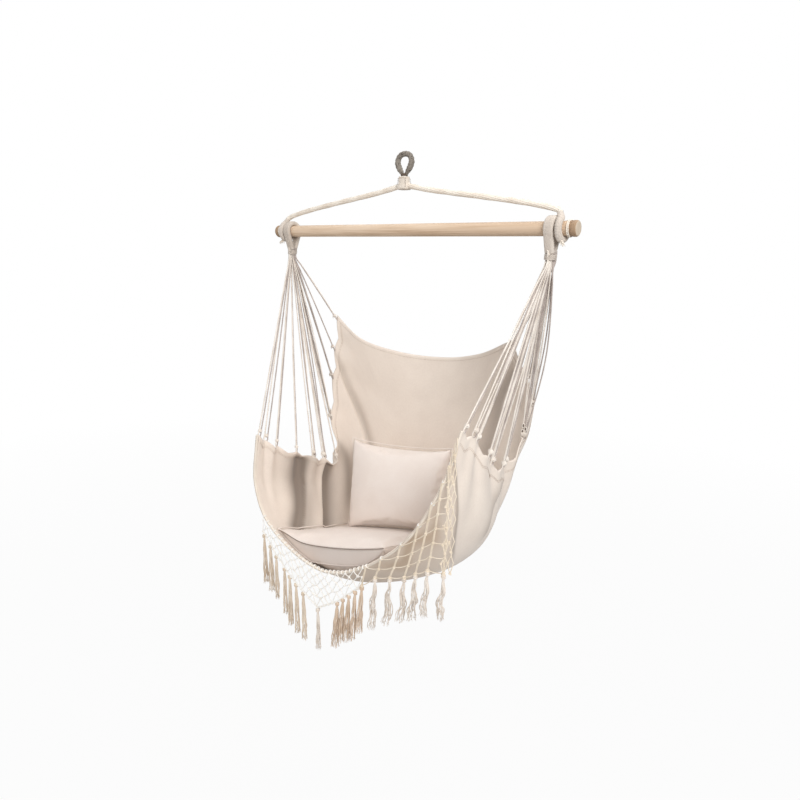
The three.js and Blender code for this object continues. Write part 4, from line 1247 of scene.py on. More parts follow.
def rope_line(side):
    """Middle line of a top rope: its straight run to the bar, and its turn round the bar."""
    turn_radius = (BAR + ROPE) / 2 + TOUCH_GAP
    start = math.radians(ROPE_START_ANGLE)
    slope = (ROPE_HEIGHT_AT_SLEEVE - ROPE_HEIGHT_OVER_LOOP) / (CLEW_PLACE + ROPE)
    near = SLEEVE_FOOT * 2
    beside = CLEW_PLACE - CLEW_WIDTH * 2
    bend = np.array(ROPE_BEND_SHARES) * ROPE + [ROPE_TURN_PLACE, 0, turn_radius]
    leg = [(ROPE_SEAT, 0, ROPE_HEIGHT_AT_SLEEVE), (near, 0, ROPE_HEIGHT_AT_SLEEVE - near * slope),
           (beside, 0, ROPE_HEIGHT_OVER_LOOP + (CLEW_PLACE - beside) * slope + ROPE_LOOP_GAP),
           (CLEW_PLACE + ROPE, 0, ROPE_HEIGHT_OVER_LOOP), bend]

    def place(angle):
        return (ROPE_TURN_PLACE + ROPE_TURN_PITCH * (angle - start) / (2 * math.pi),
                -turn_radius * math.sin(angle), turn_radius * math.cos(angle))

    angles = np.linspace(start, start + 2 * math.pi * ROPE_TURNS, ROPE_TURN_STEPS)
    turns = np.array([place(a) for a in angles])
    leg += [place(start), place(start * 2)]
    lead = spline(leg, np.linspace(0, (len(leg) - 2) / (len(leg) - 1), LEAD_STEPS))
    return lead * [side, 1, 1], turns * [side, 1, 1]


def frayed_end(shape, side):
    lead_end = np.array(FRAY_START_SHARES) * ROPE + [ROPE_TURN_PLACE, 0, -(BAR + ROPE) / 2]
    end = lead_end * [side, 1, 1]
    way = unit(np.array(FRAY_WAY) * [side, 1, 1])
    for _ in range(FRAY_STRANDS):
        own_way = unit(way + scatter(*FRAY_SPREAD_SHARES))
        start = end + scatter(*FRAY_ROOT_SHARES) * ROPE * FRAY_ROOT_SHARE
        length = FRAY_LENGTH * rng.uniform(0.5, 1)
        low = start + own_way * length - [0, 0, length * FRAY_SAG_SHARE]
        tube(shape, smooth([start, start + own_way * length / 2, low], FRAY_STEP), FRAY_STRAND / 2, sides=5)


def top_rope(side, name):
    lead, turns = rope_line(side)
    path = even(lead, ROPE_STEP)
    travel = along(path)
    path[:, 1] += ROPE_SWAY * np.sin(travel / ROPE_SWAY_LENGTH) * np.sin(np.pi * travel / travel[-1])
    radius = ROPE / 2 * (1 + ROPE_SWELL_SHARE * np.sin(travel / ROPE_SWELL_LENGTH + side))
    shape, served = Shape(), Shape()
    cord(shape, path, radius, ROPE_TWIST, side, ROPE_SIDES, ROPE_STRANDS)
    coil = even(np.vstack([lead[-SERVED_STEPS:-1], turns]), SERVED_STEP)
    travel = along(coil)
    ribs = ROPE_SERVED_RIB * np.cos(2 * np.pi * travel / ROPE_SERVING)
    ends = np.minimum(np.minimum(travel, travel[-1] - travel) / ROPE, 1)
    tube(served, coil, ROPE / 2 + ROPE_SERVED_SWELL * ends - ribs, sides=SERVED_SIDES)
    piece(f"rope_eye_{name}", served, "served_cotton", "spreader")
    frayed_end(shape, side)
    piece(f"rope_{name}", shape, "white_cotton", "spreader", [f"top_rope_{name}"])


def bar_twine(side, name):
    pitch = TWINE + TWINE_TURN_GAP
    angle = np.linspace(0, 2 * np.pi * TWINE_TURNS, TWINE_STEPS * TWINE_TURNS)
    radius = (BAR + TWINE) / 2 + TOUCH_GAP
    start = BAR_LENGTH / 2 - BAR_TIP_LENGTH - TWINE / 2 - TOUCH_GAP - TWINE_TURNS * pitch - TWINE_INSET
    out = start + pitch * angle / (2 * np.pi) + TWINE_TILT_SHARE * radius * np.sin(angle)
    path = np.stack([side * out, -radius * np.sin(angle), radius * np.cos(angle)], axis=1)
    shape = Shape()
    cord(shape, even(path, TWINE_STEP), TWINE / 2 * TWINE_SWELL_SHARE, TWINE_TWIST, sides=10)
    piece(f"twine_{name}", shape, "white_cotton", "spreader", [f"bar_twine_{name}"])


# Loops over the bar

def clew_line():
    """Middle line of a loop: up one side, over the bar and down the other side."""
    middle = BAR / 2 + SLIP_GAP + CLEW_THICKNESS / 2
    lean = math.radians(CLEW_SPREAD_ANGLE)
    arc = np.linspace(-lean, math.pi + lean, CLEW_ARC_STEPS)
    over = np.stack([np.zeros(len(arc)), middle * np.cos(arc), middle * np.sin(arc)], axis=1)
    share = np.linspace(0, 1, CLEW_LEG_STEPS)[:, None]
    feet = [np.array([0, y, -CLEW_DROP + CLEW_FOOT_RISE]) for y in (NECK / 4, -NECK / 4)]
    up = between(feet[0], over[0], share)
    down = between(over[-1], feet[1], share)
    return even(np.vstack([up[:-1], over, down[1:]]), CLEW_STEP)


def clew_loop(side, name):
    path = clew_line()
    thick = np.cross(unit(np.gradient(path, axis=0)), [1.0, 0.0, 0.0])
    around = np.linspace(0, 2 * np.pi, CLEW_SIDES, endpoint=False)
    wide, deep = (boxed(f(around), power) for f, power in zip((np.cos, np.sin), CLEW_BOX_SHARES))
    travel = along(path)
    width = CLEW_WIDTH / 2 * np.interp(travel / travel[-1], CLEW_PLACE_SHARES, CLEW_WIDTH_SHARES)
    rib = 1 - CLEW_RIB_SHARE * (0.5 - 0.5 * np.cos(2 * np.pi * travel / CLEW_RIB))
    width = width * (1 - CLEW_RIB_WIDTH_SHARE + CLEW_RIB_WIDTH_SHARE * rib)
    thickness = CLEW_THICKNESS / 2 * CLEW_THICKNESS_SHARE * rib
    grid = path[:, None, :] + thick[:, None, :] * thickness[:, None, None] * deep[None, :, None]
    grid[..., 0] += width[:, None] * wide + side * CLEW_PLACE
    shape = Shape()
    count = grid.shape[0] * CLEW_SIDES
    ends = [[list(range(CLEW_SIDES))], [list(range(count - 1, count - CLEW_SIDES - 1, -1))]]
    shape.add(grid.reshape(-1, 3), [grid_faces(len(path), CLEW_SIDES, closed=True)] + ends)
    piece(f"loop_{name}", shape, "served_cotton", "sling", [f"clew_loop_{name}"])
    ties = Shape()
    angle = np.linspace(0, 2 * np.pi * WHIPPING_TURNS, WHIPPING_STEPS * WHIPPING_TURNS)
    radius = NECK / 2 + WHIPPING / 2 + TOUCH_GAP
    helix = turned(np.array([side * CLEW_PLACE, 0, 0]), [radius, 0, 0], [0, radius, 0], angle)
    helix[:, 2] = -CLEW_DROP - WHIPPING_DROP - WHIPPING * WHIPPING_PITCH_SHARE * angle / (2 * np.pi)
    cord(ties, helix, WHIPPING / 2, WHIPPING_TWIST)
    piece(f"whipping_{name}", ties, "served_cotton", "sling", [f"clew_whipping_{name}"])


# Suspension cords

def neck_top(place, reach=1.0, start=None):
    """The place above a point in the neck, inside the whipping."""
    top = place * [1, 1, 0] + [0, 0, NECK_RISE - CLEW_DROP - TOUCH_GAP]
    if start is not None:
        top[:2] = start[:2] + (top[:2] - start[:2]) * reach
    return top


def cord_leg(start, low, sideways, run, to_neck):
    """One half of a cord, from the neck to the hem, with its bight below the knot."""
    inner = start + sideways + run * CORD * LEG_INSET_SHARE
    top = neck_top(inner, NECK_SPREAD_SHARE, start)
    lower = [low + run * CORD_BIGHT_WIDTH / 2 * out + to_neck * CORD_BIGHT_HEIGHT * rise
             for out, rise in CORD_BIGHT_SHARES]
    near, half, far = (between(inner, lower[0], share) for share in LEG_PLACE_SHARES)
    return [top, inner, near, half + scatter(*[(-CORD_SWAY, CORD_SWAY)] * 2), far] + lower


def extra_cord(start, centre, sideways, run, shift):
    """A cord of a chain's bundle, bowed a little out of the fan."""
    inset, spread_share, foot_share = EXTRA_PLACE_SHARES
    inner = start + sideways * inset + run * shift * CORD * spread_share
    foot = centre + run * shift * CORD * foot_share
    sway = shift * EXTRA_BOW + rng.uniform(-CORD_SWAY, CORD_SWAY)
    bow = between(inner, foot, EXTRA_BOW_SHARES[1]) + run * sway
    near = between(inner, bow, EXTRA_BOW_SHARES[0]) + run * shift * EXTRA_LEAN
    return smooth([neck_top(inner), inner, near, bow, foot], CORD_STEP)


def chain(loops, hollow_shades, centre, run, to_neck, away, count):
    """Loops of a crochet chain above a knot, with a dark blob in each as painted shade in its hollow."""
    step, start = CHAIN_STEP_SHARES
    for k in range(count):
        sway = run * CHAIN_SWAY_SHARE * (-1) ** k
        middle = centre + (to_neck * (k * step + start) + sway + away) * CORD
        across, tall = (CORD * share for share in CHAIN_REACH_SHARES)
        ring = turned(middle, across * unit(run + to_neck * CHAIN_LEAN_SHARE), tall * to_neck,
                      np.linspace(0, 2 * np.pi, RING_STEPS))
        tube(loops, ring, CORD * CHAIN_RADIUS_SHARE, sides=7)
        # A dark blob in the loop is painted shade in its hollow.
        blob(hollow_shades, middle, np.array(CHAIN_HOLLOW_SHADE_SHARES) * CORD, sides=8, way=to_neck)


def wound_tail(shape, centre, run, to_neck, away):
    """Cord wound round a knot, and its loose tail."""
    angle = np.linspace(0, 2 * np.pi * WRAP_TURNS, WRAP_STEPS)
    wide, deep, tall = (CORD * share for share in WRAP_SHARES)
    wrap = turned(centre, run * wide, np.cross(to_neck, run) * deep, angle)
    wrap = wrap + np.outer((angle / angle[-1] - 0.5) * tall, to_neck)
    cord(shape, even(wrap, WRAP_STEP), CORD * WRAP_RADIUS_SHARE, WRAP_TWIST)
    end = wrap[-1]
    first, second = TAIL_DROPS
    tail = smooth([end, end + away * CORD - [0, 0, first],
                   end + away * CORD * TAIL_REACH_SHARE + run * TAIL_RUN - [0, 0, second]], TAIL_STEP)
    cord(shape, tail, CORD * TAIL_RADIUS_SHARE, TAIL_TWIST, sides=7)


def hem_ways(side, v, start):
    """Cord foot on a side hem: its place, and its ways along the hem, out of the cloth and to the neck."""
    u = 0.0 if side < 0 else 1.0
    hem = canvas_point(u, v)
    run = canvas_way((u, max(v - WAY_SHARE, 0)), (u, min(v + WAY_SHARE, 1)))
    away = outward(canvas_way((u - side * WAY_SHARE, v), (u, v)), run)
    to_neck = unit(start - hem)
    run = run - to_neck * np.dot(run, to_neck)
    square = np.cross(to_neck, away)
    if np.linalg.norm(square) > np.linalg.norm(run):
        run = square
    return hem + away * (CORD / 2 + CLOTH / 2 - HEM_BITE), unit(run), away, to_neck


def fan(side, name):
    start = np.array([side * CLEW_PLACE, 0, -CLEW_DROP - TOUCH_GAP - NECK_LENGTH + CORD])
    # One leg of each cord, and every other extra cord, is drawn in a darker copy of the cord cotton: painted
    # shade on one side of each pair.
    shades = (Shape(), Shape())
    knots, hollow_shades = Shape(), Shape()
    counts = LEFT_EXTRA_CORDS if side < 0 else RIGHT_EXTRA_CORDS
    for index, (v, count) in enumerate(zip(CORD_STATION_SHARES, counts)):
        low, run, away, to_neck = hem_ways(side, v, start)
        sideways = NECK_WAY * (v - 0.5) * (NECK - CORD) + NECK_ACROSS * (-1) ** index * CORD
        legs = [cord_leg(start, low, sideways, run * sign, to_neck) for sign in (-1, 1)]
        path = smooth(legs[0] + [low] + legs[1][::-1], CORD_STEP)
        middle = len(path) // 2
        for shade, half in zip(shades, (path[:middle + 2], path[middle - 1:])):
            cord(shade, half, CORD / 2 * CORD_SWELL_SHARE, CORD_TWIST, index)
        centre = low + to_neck * CORD_BIGHT_HEIGHT * FOOT_KNOT_RISE_SHARE
        for k in range(count):
            path = extra_cord(start, centre, sideways, run, k - (count - 1) / 2 + 0.5)
            cord(shades[k % 2], path, CORD / 2, CORD_TWIST, index + k)
        swell = CORD * (1 + FOOT_KNOT_SWELL_SHARE * count)
        blob(knots, centre, np.array(FOOT_KNOT_SHARES) * swell, sides=12, rings=9, way=to_neck, lobes=3)
        chain(knots, hollow_shades, centre, run, to_neck, away * side, count)
        wound_tail(knots, centre, run, to_neck, away)
    piece(f"cords_{name}", shades[0], "fan_cotton", "sling", [f"suspension_cords_{name}"])
    # The blobs in the chain loops are painted shade, in the dark thread.
    for kind, shape, look in (("shaded_returns", shades[1], "shaded_fan_cotton"), ("knots", knots, "fan_cotton"),
                              ("painted_hollows", hollow_shades, "dark_thread_and_shade")):
        piece(f"cord_{kind}_{name}", shape, look, "sling")


# Sling

points, normals, from_edge = canvas_grid(CANVAS_ACROSS, CANVAS_ALONG)
texture = cloth_texture(points)


def hem_seams(shape, travels, grids, inset, height):
    """Stitches on both sides of the cloth, inset from the last point of each line of the grid."""
    rows, ways = (np.array([read_at(travel[-1] - inset, travel, line) for travel, line in zip(travels, grid)])
                  for grid in grids)
    stitched(shape, rows, ways, height)


def sling():
    width = np.where(np.arange(CANVAS_ACROSS) < CANVAS_ACROSS / 2, LEFT_HEM, RIGHT_HEM)
    hem = smoothstep(-from_edge, -width, -width + HEM_SLOPE)
    across, down = texture[..., 0], texture[..., 1]
    top_hem = smoothstep(down - down[-1:, :], -TOP_HEM, -TOP_HEM + HEM_SLOPE)
    thickness = CLOTH / 2 + HEM_SWELL / 2 * np.maximum(hem, top_hem)
    shape = Shape()
    slab(shape, points + normals * thickness[..., None], points - normals * thickness[..., None], texture)
    cloth = piece("sling_cloth", shape, "canvas_cloth", "sling", ["canvas"])
    # Shade is painted into the canvas: the fold mark darkens the pleats, the soft shade beside them, the
    # slack folds and the left corner on the inside, and the slant and side folds on the outside.
    u, v = np.meshgrid(np.linspace(0, 1, CANVAS_ACROSS), np.linspace(0, 1, CANVAS_ALONG))
    shades = {"pleat": pleat_share, "drop": drop_share, "back": back_fold_share, "corner": corner_share,
              "slant": slant_share, "side": side_fold_share}
    shades = {key: PAINTED_SHADE_SHARES[key] * share(u, v) for key, share in shades.items()}
    inner = shades["pleat"] + shaded_share(u, v) + shades["drop"] + shades["back"] + shades["corner"]
    outer = shades["slant"] + shades["side"]
    mark_points(cloth, "fold", np.clip(np.stack([inner, outer]), 0, 1).ravel())
    # Painted shade, in a warm brown, on the outside behind the net.
    mark_points(cloth, "under_net_shade", np.stack([np.zeros(u.shape), under_net_share(u, v)]).ravel())
    sewing = Shape()
    height = CLOTH / 2 + HEM_SWELL / 2
    inner_rows, inner_columns = slice(2, CANVAS_ALONG - 2), slice(2, CANVAS_ACROSS - 2)
    for hem_width, turn in ((LEFT_HEM, -1), (RIGHT_HEM, 1)):
        travels = turn * across[inner_rows, ::turn]
        grids = [grid[inner_rows, ::turn] for grid in (points, normals)]
        for inset in (SEAM_INSET, SEAM_INSET_TWO):
            hem_seams(sewing, travels, grids, hem_width - inset, height)
    grids = [grid.transpose(1, 0, 2)[inner_columns] for grid in (points, normals)]
    hem_seams(sewing, down.T[inner_columns], grids, TOP_HEM - SEAM_INSET, height)
    return cloth, piece("sling_stitches", sewing, "thread", "sling")


# Front edge rope, net and tassels

def hem_rope_line():
    line = []
    for u in np.linspace(0, 1, HEM_LINE_STEPS + 1):
        run = canvas_way((max(u - WAY_SHARE, 0), 0.0), (min(u + WAY_SHARE, 1), 0.0))
        out = outward(canvas_way((u, WAY_SHARE), (u, 0.0)), run)
        reach = HEM_ROPE / 2 / math.cos(math.pi / HEM_ROPE_CORNERS) + TOUCH_GAP
        line.append(canvas_point(u, 0.0) + out * reach)
    return np.array(line)


HEM_LINE = hem_rope_line()
HEM_PROFILE = np.array([p for k, p in enumerate(HEM_LINE) if all(q[0] > p[0] for q in HEM_LINE[k + 1:])])
HEM_FRONT = [min(HEM_PROFILE[max(k - 1, 0):k + 2, 1]) for k in range(len(HEM_PROFILE))]
NET_EDGE = np.array(NET_EDGE_SHARES) * np.array([HALF_WIDTH, -DROP])
NET_HALF_CELL = (NET_MIDDLE_SHARE - NET_LEFT_SHARE) * HALF_WIDTH / NET_LEFT_CELLS / 2


def hem_height(x):
    return np.interp(x, HEM_PROFILE[:, 0], HEM_PROFILE[:, 2])


def net_x(i):
    return NET_LEFT_SHARE * HALF_WIDTH + i * NET_HALF_CELL


def net_top(x):
    return hem_height(x) - HEM_ROPE / 2 + NET_REACH - NET_STRAND / 2


def net_edge(x):
    return np.interp(x, NET_EDGE[:, 0], NET_EDGE[:, 1])


def net_place(x, z):
    y = np.interp(x, HEM_PROFILE[:, 0], HEM_FRONT) - HEM_ROPE / 2 - TOUCH_GAP - NET_THICKNESS / 2
    return np.array([x, y, z])


def net_rows(i):
    """Rows of knots in a column, odd in odd columns and even in even ones."""
    rows = (net_top(net_x(i)) - net_edge(net_x(i))) / NET_ROW
    return max(2 * round((rows - i % 2) / 2) + i % 2, i % 2)


def net_node(i, j):
    """Knot j below the hem in a column; the last one lies on the net's lower edge."""
    x = net_x(i)
    top = net_top(x)
    return net_place(x, top - (top - min(net_edge(x), top)) * j / max(net_rows(i), 1))


def steep_node(m, row):
    """Knot of the net's right part: steep string m runs from the hem to a tassel over m + 1 rows."""
    x = STEEP_TOP_SHARES[m] * HALF_WIDTH
    low = TASSEL_PLACE_SHARES[STEEP_FROM + m] * HALF_WIDTH
    share = row / (m + 1)
    bow = math.sin(share * math.pi) * STEEP_BOW
    return net_place(between(x, low, share) + bow, between(net_top(x), net_edge(low), share))


def front_rope():
    shape = Shape()
    path = smooth(HEM_LINE, HEM_ROPE_STEP, HEM_ROPE_STEPS)
    coarse, long, other = (np.sin(along(path) / length) for length in HEM_ROPE_SWELL_LENGTHS)
    swell, swell_two = HEM_ROPE_SWELL_SHARES
    tube(shape, path, HEM_ROPE / 2 * (1 + swell * coarse * long + swell_two * other), sides=HEM_ROPE_SIDES)
    piece("front_hem", shape, "hem_cloth", "sling", ["front_edge_rope"])
    sewing = Shape()
    _, first, second = directions(path)
    stitched(sewing, path, unit(first * HEM_STITCH_LEAN_SHARE + second), HEM_ROPE / 2)
    piece("front_hem_stitches", sewing, "thread", "sling")


def net_knot(shape, here, size=KNOT):
    tilt = rng.uniform(-KNOT_TILT_SHARE, KNOT_TILT_SHARE)
    blob(shape, here, np.array(KNOT_SHARES) * size, sides=12, rings=8,
         way=(math.sin(tilt), KNOT_LEAN_SHARE, math.cos(tilt)), lobes=2, relief=KNOT_LOBE_SHARE)
    angle = np.linspace(*KNOT_BAND_ANGLES, KNOT_BAND_STEPS)
    wide, deep, shift, rise = (size * share for share in KNOT_BAND_SHARES)
    for turn in (-1, 1):
        band = turned(here + [0, 0, turn * shift], [wide * turn, 0, rise], [0, -deep, 0], angle)
        tube(shape, band, size * KNOT_BAND_SHARE, sides=6)


def net_cord(shape, path, share, phase):
    cord(shape, path, NET_CORD * share, NET_TWIST, phase, NET_SIDES)


def net_strand(shape, here, there, phase):
    """Two cords side by side from knot to knot."""
    path = smooth([here, between(here, there, 0.5) - [0, STRAND_SAG, 0], there], NET_STEP)
    x, _, z = unit(there - here) * NET_CORD * THIN_CORD_SHARE
    for side in (-1, 1):
        net_cord(shape, path + [-z * side, 0, x * side], NET_CORD_SHARE, phase)


def thin_strand(shape, here, there, phase):
    """One cord from knot to knot."""
    slack = np.linalg.norm(there - here) * THIN_SLACK_SHARE
    path = smooth([here, between(here, there, 0.5) - [0, THIN_SAG, slack], there], NET_STEP)
    net_cord(shape, path, THIN_CORD_SHARE, phase)


def left_net(strands, knots):
    """Diamond net below the low part of the hem, closed by a cord along its lower edge."""
    columns = NET_LEFT_CELLS * 2
    for i in range(columns + 1):
        for j in range(i % 2, net_rows(i) + 1, 2):
            here = net_node(i, j)
            if j:
                net_knot(knots, here, SMALL_KNOT)
            for way in (-1, 1):
                if 0 <= i + way <= columns and j + 1 <= net_rows(i + way):
                    thin_strand(strands, here, net_node(i + way, j + 1), i + j)
    xs = np.linspace(net_x(0), net_x(columns), EDGE_STEPS)
    thin_strand(strands, net_place(xs[0], net_top(xs[0])), net_place(xs[0], net_edge(xs[0])), 0.0)
    path = smooth([net_place(x, net_edge(x)) for x in xs], NET_STEP, FRONT_STEPS)
    for side in (-1, 1):
        net_cord(strands, path + [0, 0, side * NET_CORD * NET_CORD_SHARE], THIN_CORD_SHARE, side)


def side_string(strands, knots, k, top_x, low_x):
    """Loose string of the bunch at the net's right end; the first one is tied to the net."""
    last = len(STEEP_TOP_SHARES)
    before = None
    for row in range(STRING_ROWS + 1):
        share = row / STRING_ROWS
        sway = (-1) ** (row + k) * STRING_SWAY * min(share * STRING_SWAY_SHARE, 1)
        x = between(top_x, low_x, share) + sway + rng.uniform(-STRING_WAVE, STRING_WAVE)
        here = net_place(x, between(net_top(top_x), net_edge(low_x), share)) - [0, STRING_OFFSET * (k % 2), 0]
        if row:
            thin_strand(strands, before, here, k + row)
            if (row + k) % 2:
                net_knot(knots, here, SMALL_KNOT)
        if k == 0 and row % 2:
            thin_strand(strands, steep_node(last - 1, min(row * last // STRING_ROWS, last)), here, row)
        before = here


def right_net(strands, knots):
    """Square net below the rising part of the hem, with a bunch of loose strings at its end."""
    count = len(STEEP_TOP_SHARES)
    for m in range(count):
        for row in range(m + 2):
            here = steep_node(m, row)
            if row:
                net_knot(knots, here, SMALL_KNOT if row <= m else KNOT)
                net_strand(strands, steep_node(m, row - 1), here, m + row)
            if m + 1 < count:
                thin_strand(strands, here, steep_node(m + 1, row + 1), m + row)
    for k, (top_share, low_share) in enumerate(SIDE_STRING_SHARES):
        side_string(strands, knots, k, top_share * HALF_WIDTH, low_share * HALF_WIDTH)


def hitch(shape, x):
    """Two turns of a net cord round the hem rope."""
    off = np.abs(HEM_LINE[:, 0] - x) + RING_RISE_SHARE * np.abs(HEM_LINE[:, 2] - hem_height(x))
    index = np.argmin(off)
    run = unit(HEM_LINE[min(index + 1, HEM_LINE_STEPS)] - HEM_LINE[max(index - 1, 0)])
    centre = np.array([x, np.interp(x, HEM_PROFILE[:, 0], HEM_PROFILE[:, 1]), hem_height(x)])
    first = unit(np.cross(run, [0, 1, WAY_SHARE]))
    radius = HEM_ROPE / 2 + RING_REACH
    angle = np.linspace(0, 2 * np.pi, RING_STEPS)
    for shift in (-RING_SHIFT, RING_SHIFT):
        ring = turned(centre + run * shift, first * radius, np.cross(run, first) * radius, angle)
        tube(shape, ring, NET_CORD * RING_RADIUS_SHARE, sides=6)


def net():
    left_strands, left_knots, strands, knots = Shape(), Shape(), Shape(), Shape()
    left_net(left_strands, left_knots)
    right_net(strands, knots)
    for x in [net_x(i) for i in range(NET_LEFT_CELLS * 2 + 1)] + [s * HALF_WIDTH for s in STEEP_TOP_SHARES]:
        hitch(left_knots, x)
    piece("net_strands", strands, "net_cotton", "sling", ["macrame_net"])
    # The left part of the net is drawn in a lighter copy of the net cotton: painted light.
    others = (("net_knots", knots, "net_cotton"), ("net_left_strands", left_strands, "lit_net_cotton"),
              ("net_left_knots", left_knots, "lit_net_cotton"))
    for name, shape, look in others:
        piece(name, shape, look, "sling")


def tassel_head(shape, top, index):
    """Knot of a tassel and the two turns round it."""
    radii = np.array(TASSEL_KNOT_SHARES) * [TASSEL_KNOT, TASSEL_KNOT, TASSEL_KNOT_HEIGHT]
    blob(shape, top - [0, 0, TASSEL_KNOT_HEIGHT * TASSEL_KNOT_DROP_SHARE], radii, sides=14, rings=9, lobes=3,
         relief=TASSEL_LOBE_SHARE)
    angle = np.linspace(0, 2 * np.pi, RING_STEPS)
    for drop in TASSEL_TURN_SHARES:
        ring = turned(top - [0, 0, TASSEL_KNOT_HEIGHT * drop], [radii[0], 0, 0], [0, radii[1], 0], angle)
        ring[:, 2] += np.sin(angle + index) * TASSEL_TURN_LEAN
        tube(shape, ring, TASSEL_TURN / 2, sides=6)


def loose_fibres(shape, start, drop):
    for _ in range(FIBRES):
        way = scatter((-1, 1), (-1, 1)) * FIBRE_REACH
        low = np.array([0, 0, -drop * rng.uniform(*FIBRE_DROP_SHARES)])
        aside, down = FIBRE_BEND_SHARES
        tube(shape, smooth([start, start + way * aside + low * down, start + way + low], FIBRE_LENGTH),
             FIBRE / 2, sides=4)


def tassel(index):
    """Tassel below the net; the ones at the right end have loose, wavy strands."""
    x = TASSEL_PLACE_SHARES[index] * HALF_WIDTH
    length = TASSEL_LENGTH * TASSEL_LENGTH_SHARES[index]
    top = net_place(x, net_edge(x) - NET_STRAND / 2 - TOUCH_GAP)
    shape = Shape()
    tassel_head(shape, top, index)
    loose = index >= LOOSE_FROM
    skirt = TASSEL_SKIRT * (LOOSE_SKIRT_SHARE if loose else FULL_SKIRT_SHARE if index >= TAN_FROM else 1)
    crinkle = TASSEL_CRINKLE * (TASSEL_CRINKLE_SHARE if loose else 1)
    swing = TASSEL_SWING_SHARES[0 if x < 0 else 1]
    for k in range(TASSEL_STRANDS):
        angle = 2 * math.pi * (k + rng.uniform(-TASSEL_ANGLE_SHARE, TASSEL_ANGLE_SHARE)) / TASSEL_STRANDS
        reach = skirt / 2 * rng.uniform(*TASSEL_REACH_SHARES)
        own = length * rng.uniform(*TASSEL_OWN_SHARES)
        out = np.array([math.cos(angle), math.sin(angle), 0])
        bends = [top - [0, 0, TASSEL_KNOT_HEIGHT * TASSEL_ROOT_SHARE] + out * TASSEL_ROOT]
        for step in range(1, TASSEL_BENDS + 1):
            share = step / TASSEL_BENDS
            wave = TASSEL_WAVE * loose * math.sin(2 * math.pi * TASSEL_WAVES * share + index)
            lean = swing * own * share + wave * min(share * TASSEL_WAVE_SHARE, 1)
            bend = scatter((-1, 1), (-1, 1)) * crinkle * share ** 0.5
            away = out * between(TASSEL_ROOT_REACH, reach, share ** TASSEL_SPREAD_SHARE)
            bends.append(top + [lean, 0, -between(TASSEL_KNOT_HEIGHT, own, share)] + away + bend)
        path = smooth(bends, TASSEL_STRAND_STEP)
        full, least = TASSEL_THIN_SHARES
        fade = np.interp(np.linspace(0, 1, len(path)), [0, full, 1], [1, 1, least])
        cord(shape, path, TASSEL_STRAND / 2 * fade, TASSEL_TWIST, k)
        loose_fibres(shape, path[-2], length - own + FIBRE_LENGTH)
    cotton = "pale_fringe_cotton" if loose or index == TAN_FROM - 1 else "fringe_cotton"
    if TAN_FROM <= index < LOOSE_FROM:
        cotton = "tan_fringe_cotton"
    piece(f"fringe_{index + 1:02d}", shape, cotton, "sling", [f"tassel_{index + 1:02d}"])


# Cushions

def grid_tree(grid):
    """The surface through a grid of points, for straight lines to be tested against."""
    rows, columns = grid.shape[:2]
    return BVHTree.FromPolygons([Vector(p) for p in grid.reshape(-1, 3)], grid_faces(rows, columns).tolist())


inside_points, inside_normals, _ = canvas_grid(*FLOOR_GRID)
FLOOR_TREE = grid_tree(inside_points + inside_normals * CLOTH / 2)
SEAT_MIDDLE = (SEAT_MIDDLE_SHARES[0] * HALF_WIDTH, SEAT_MIDDLE_SHARES[1] * HALF_DEPTH)
SEAT_WIDTH = (HALF_WIDTH - SEAT_SIDE_GAP) * 2
SEAT_DEPTH = (HALF_DEPTH - SEAT_END_GAP) * 2


def height_on(tree, x, y, otherwise):
    hit = tree.ray_cast(Vector((x, y, -DROP / 2)), Vector((0, 0, -1)))
    return hit[0].z if hit[0] else otherwise


def drawn_in(share, other, half, amount, rounded):
    return share * (half * (1 - rounded * share * share * other * other) - amount * (1 - other * other))


def seat_rim(s, t):
    """Thickness of the seat cushion at its rim, least at its pinched corners."""
    return SEAT_GUSSET * (1 - SEAT_PINCH_SHARE * s ** 4 * t ** 4)


def seat_top(s, t):
    x = SEAT_MIDDLE[0] + drawn_in(s, t, SEAT_WIDTH / 2, SEAT_DRAW_IN, SEAT_ROUND_SHARE)
    y = SEAT_MIDDLE[1] + drawn_in(t, s, SEAT_DEPTH / 2, SEAT_DRAW_IN, SEAT_ROUND_SHARE)
    crown = SEAT_CROWN * (1 - s ** 4) * (1 - t ** 4)
    tilt = SEAT_RISE_SHARE * (x - SEAT_MIDDLE[0]) + SEAT_SLOPE_SHARE * (y - SEAT_MIDDLE[1])
    level = crown + tilt - SEAT_TOP_DROP - SEAT_FRONT_SAG * (1 - s * s) * ((1 - t) / 2) ** 2
    floor = height_on(FLOOR_TREE, x, y, -DROP) + seat_rim(s, t)
    return np.array([x, y, (level + floor + math.hypot(level - floor, SEAT_BEND_SOFTNESS)) / 2])


def seat_grid(steps):
    shares = np.linspace(-1, 1, steps)
    return np.array([[seat_top(s, t) for s in shares] for t in shares])


def piping(shape, grid, share, lift=0.0):
    """Piping round the rim of a grid of points."""
    rows, columns = grid.shape[:2]
    loop = grid.reshape(-1, 3)[np.append(rim_indices(rows, columns), 1)]
    tube(shape, smooth(loop, RIM_STEP, RIM_STEPS) + [0, 0, lift], PIPING / 2 * share, sides=8)


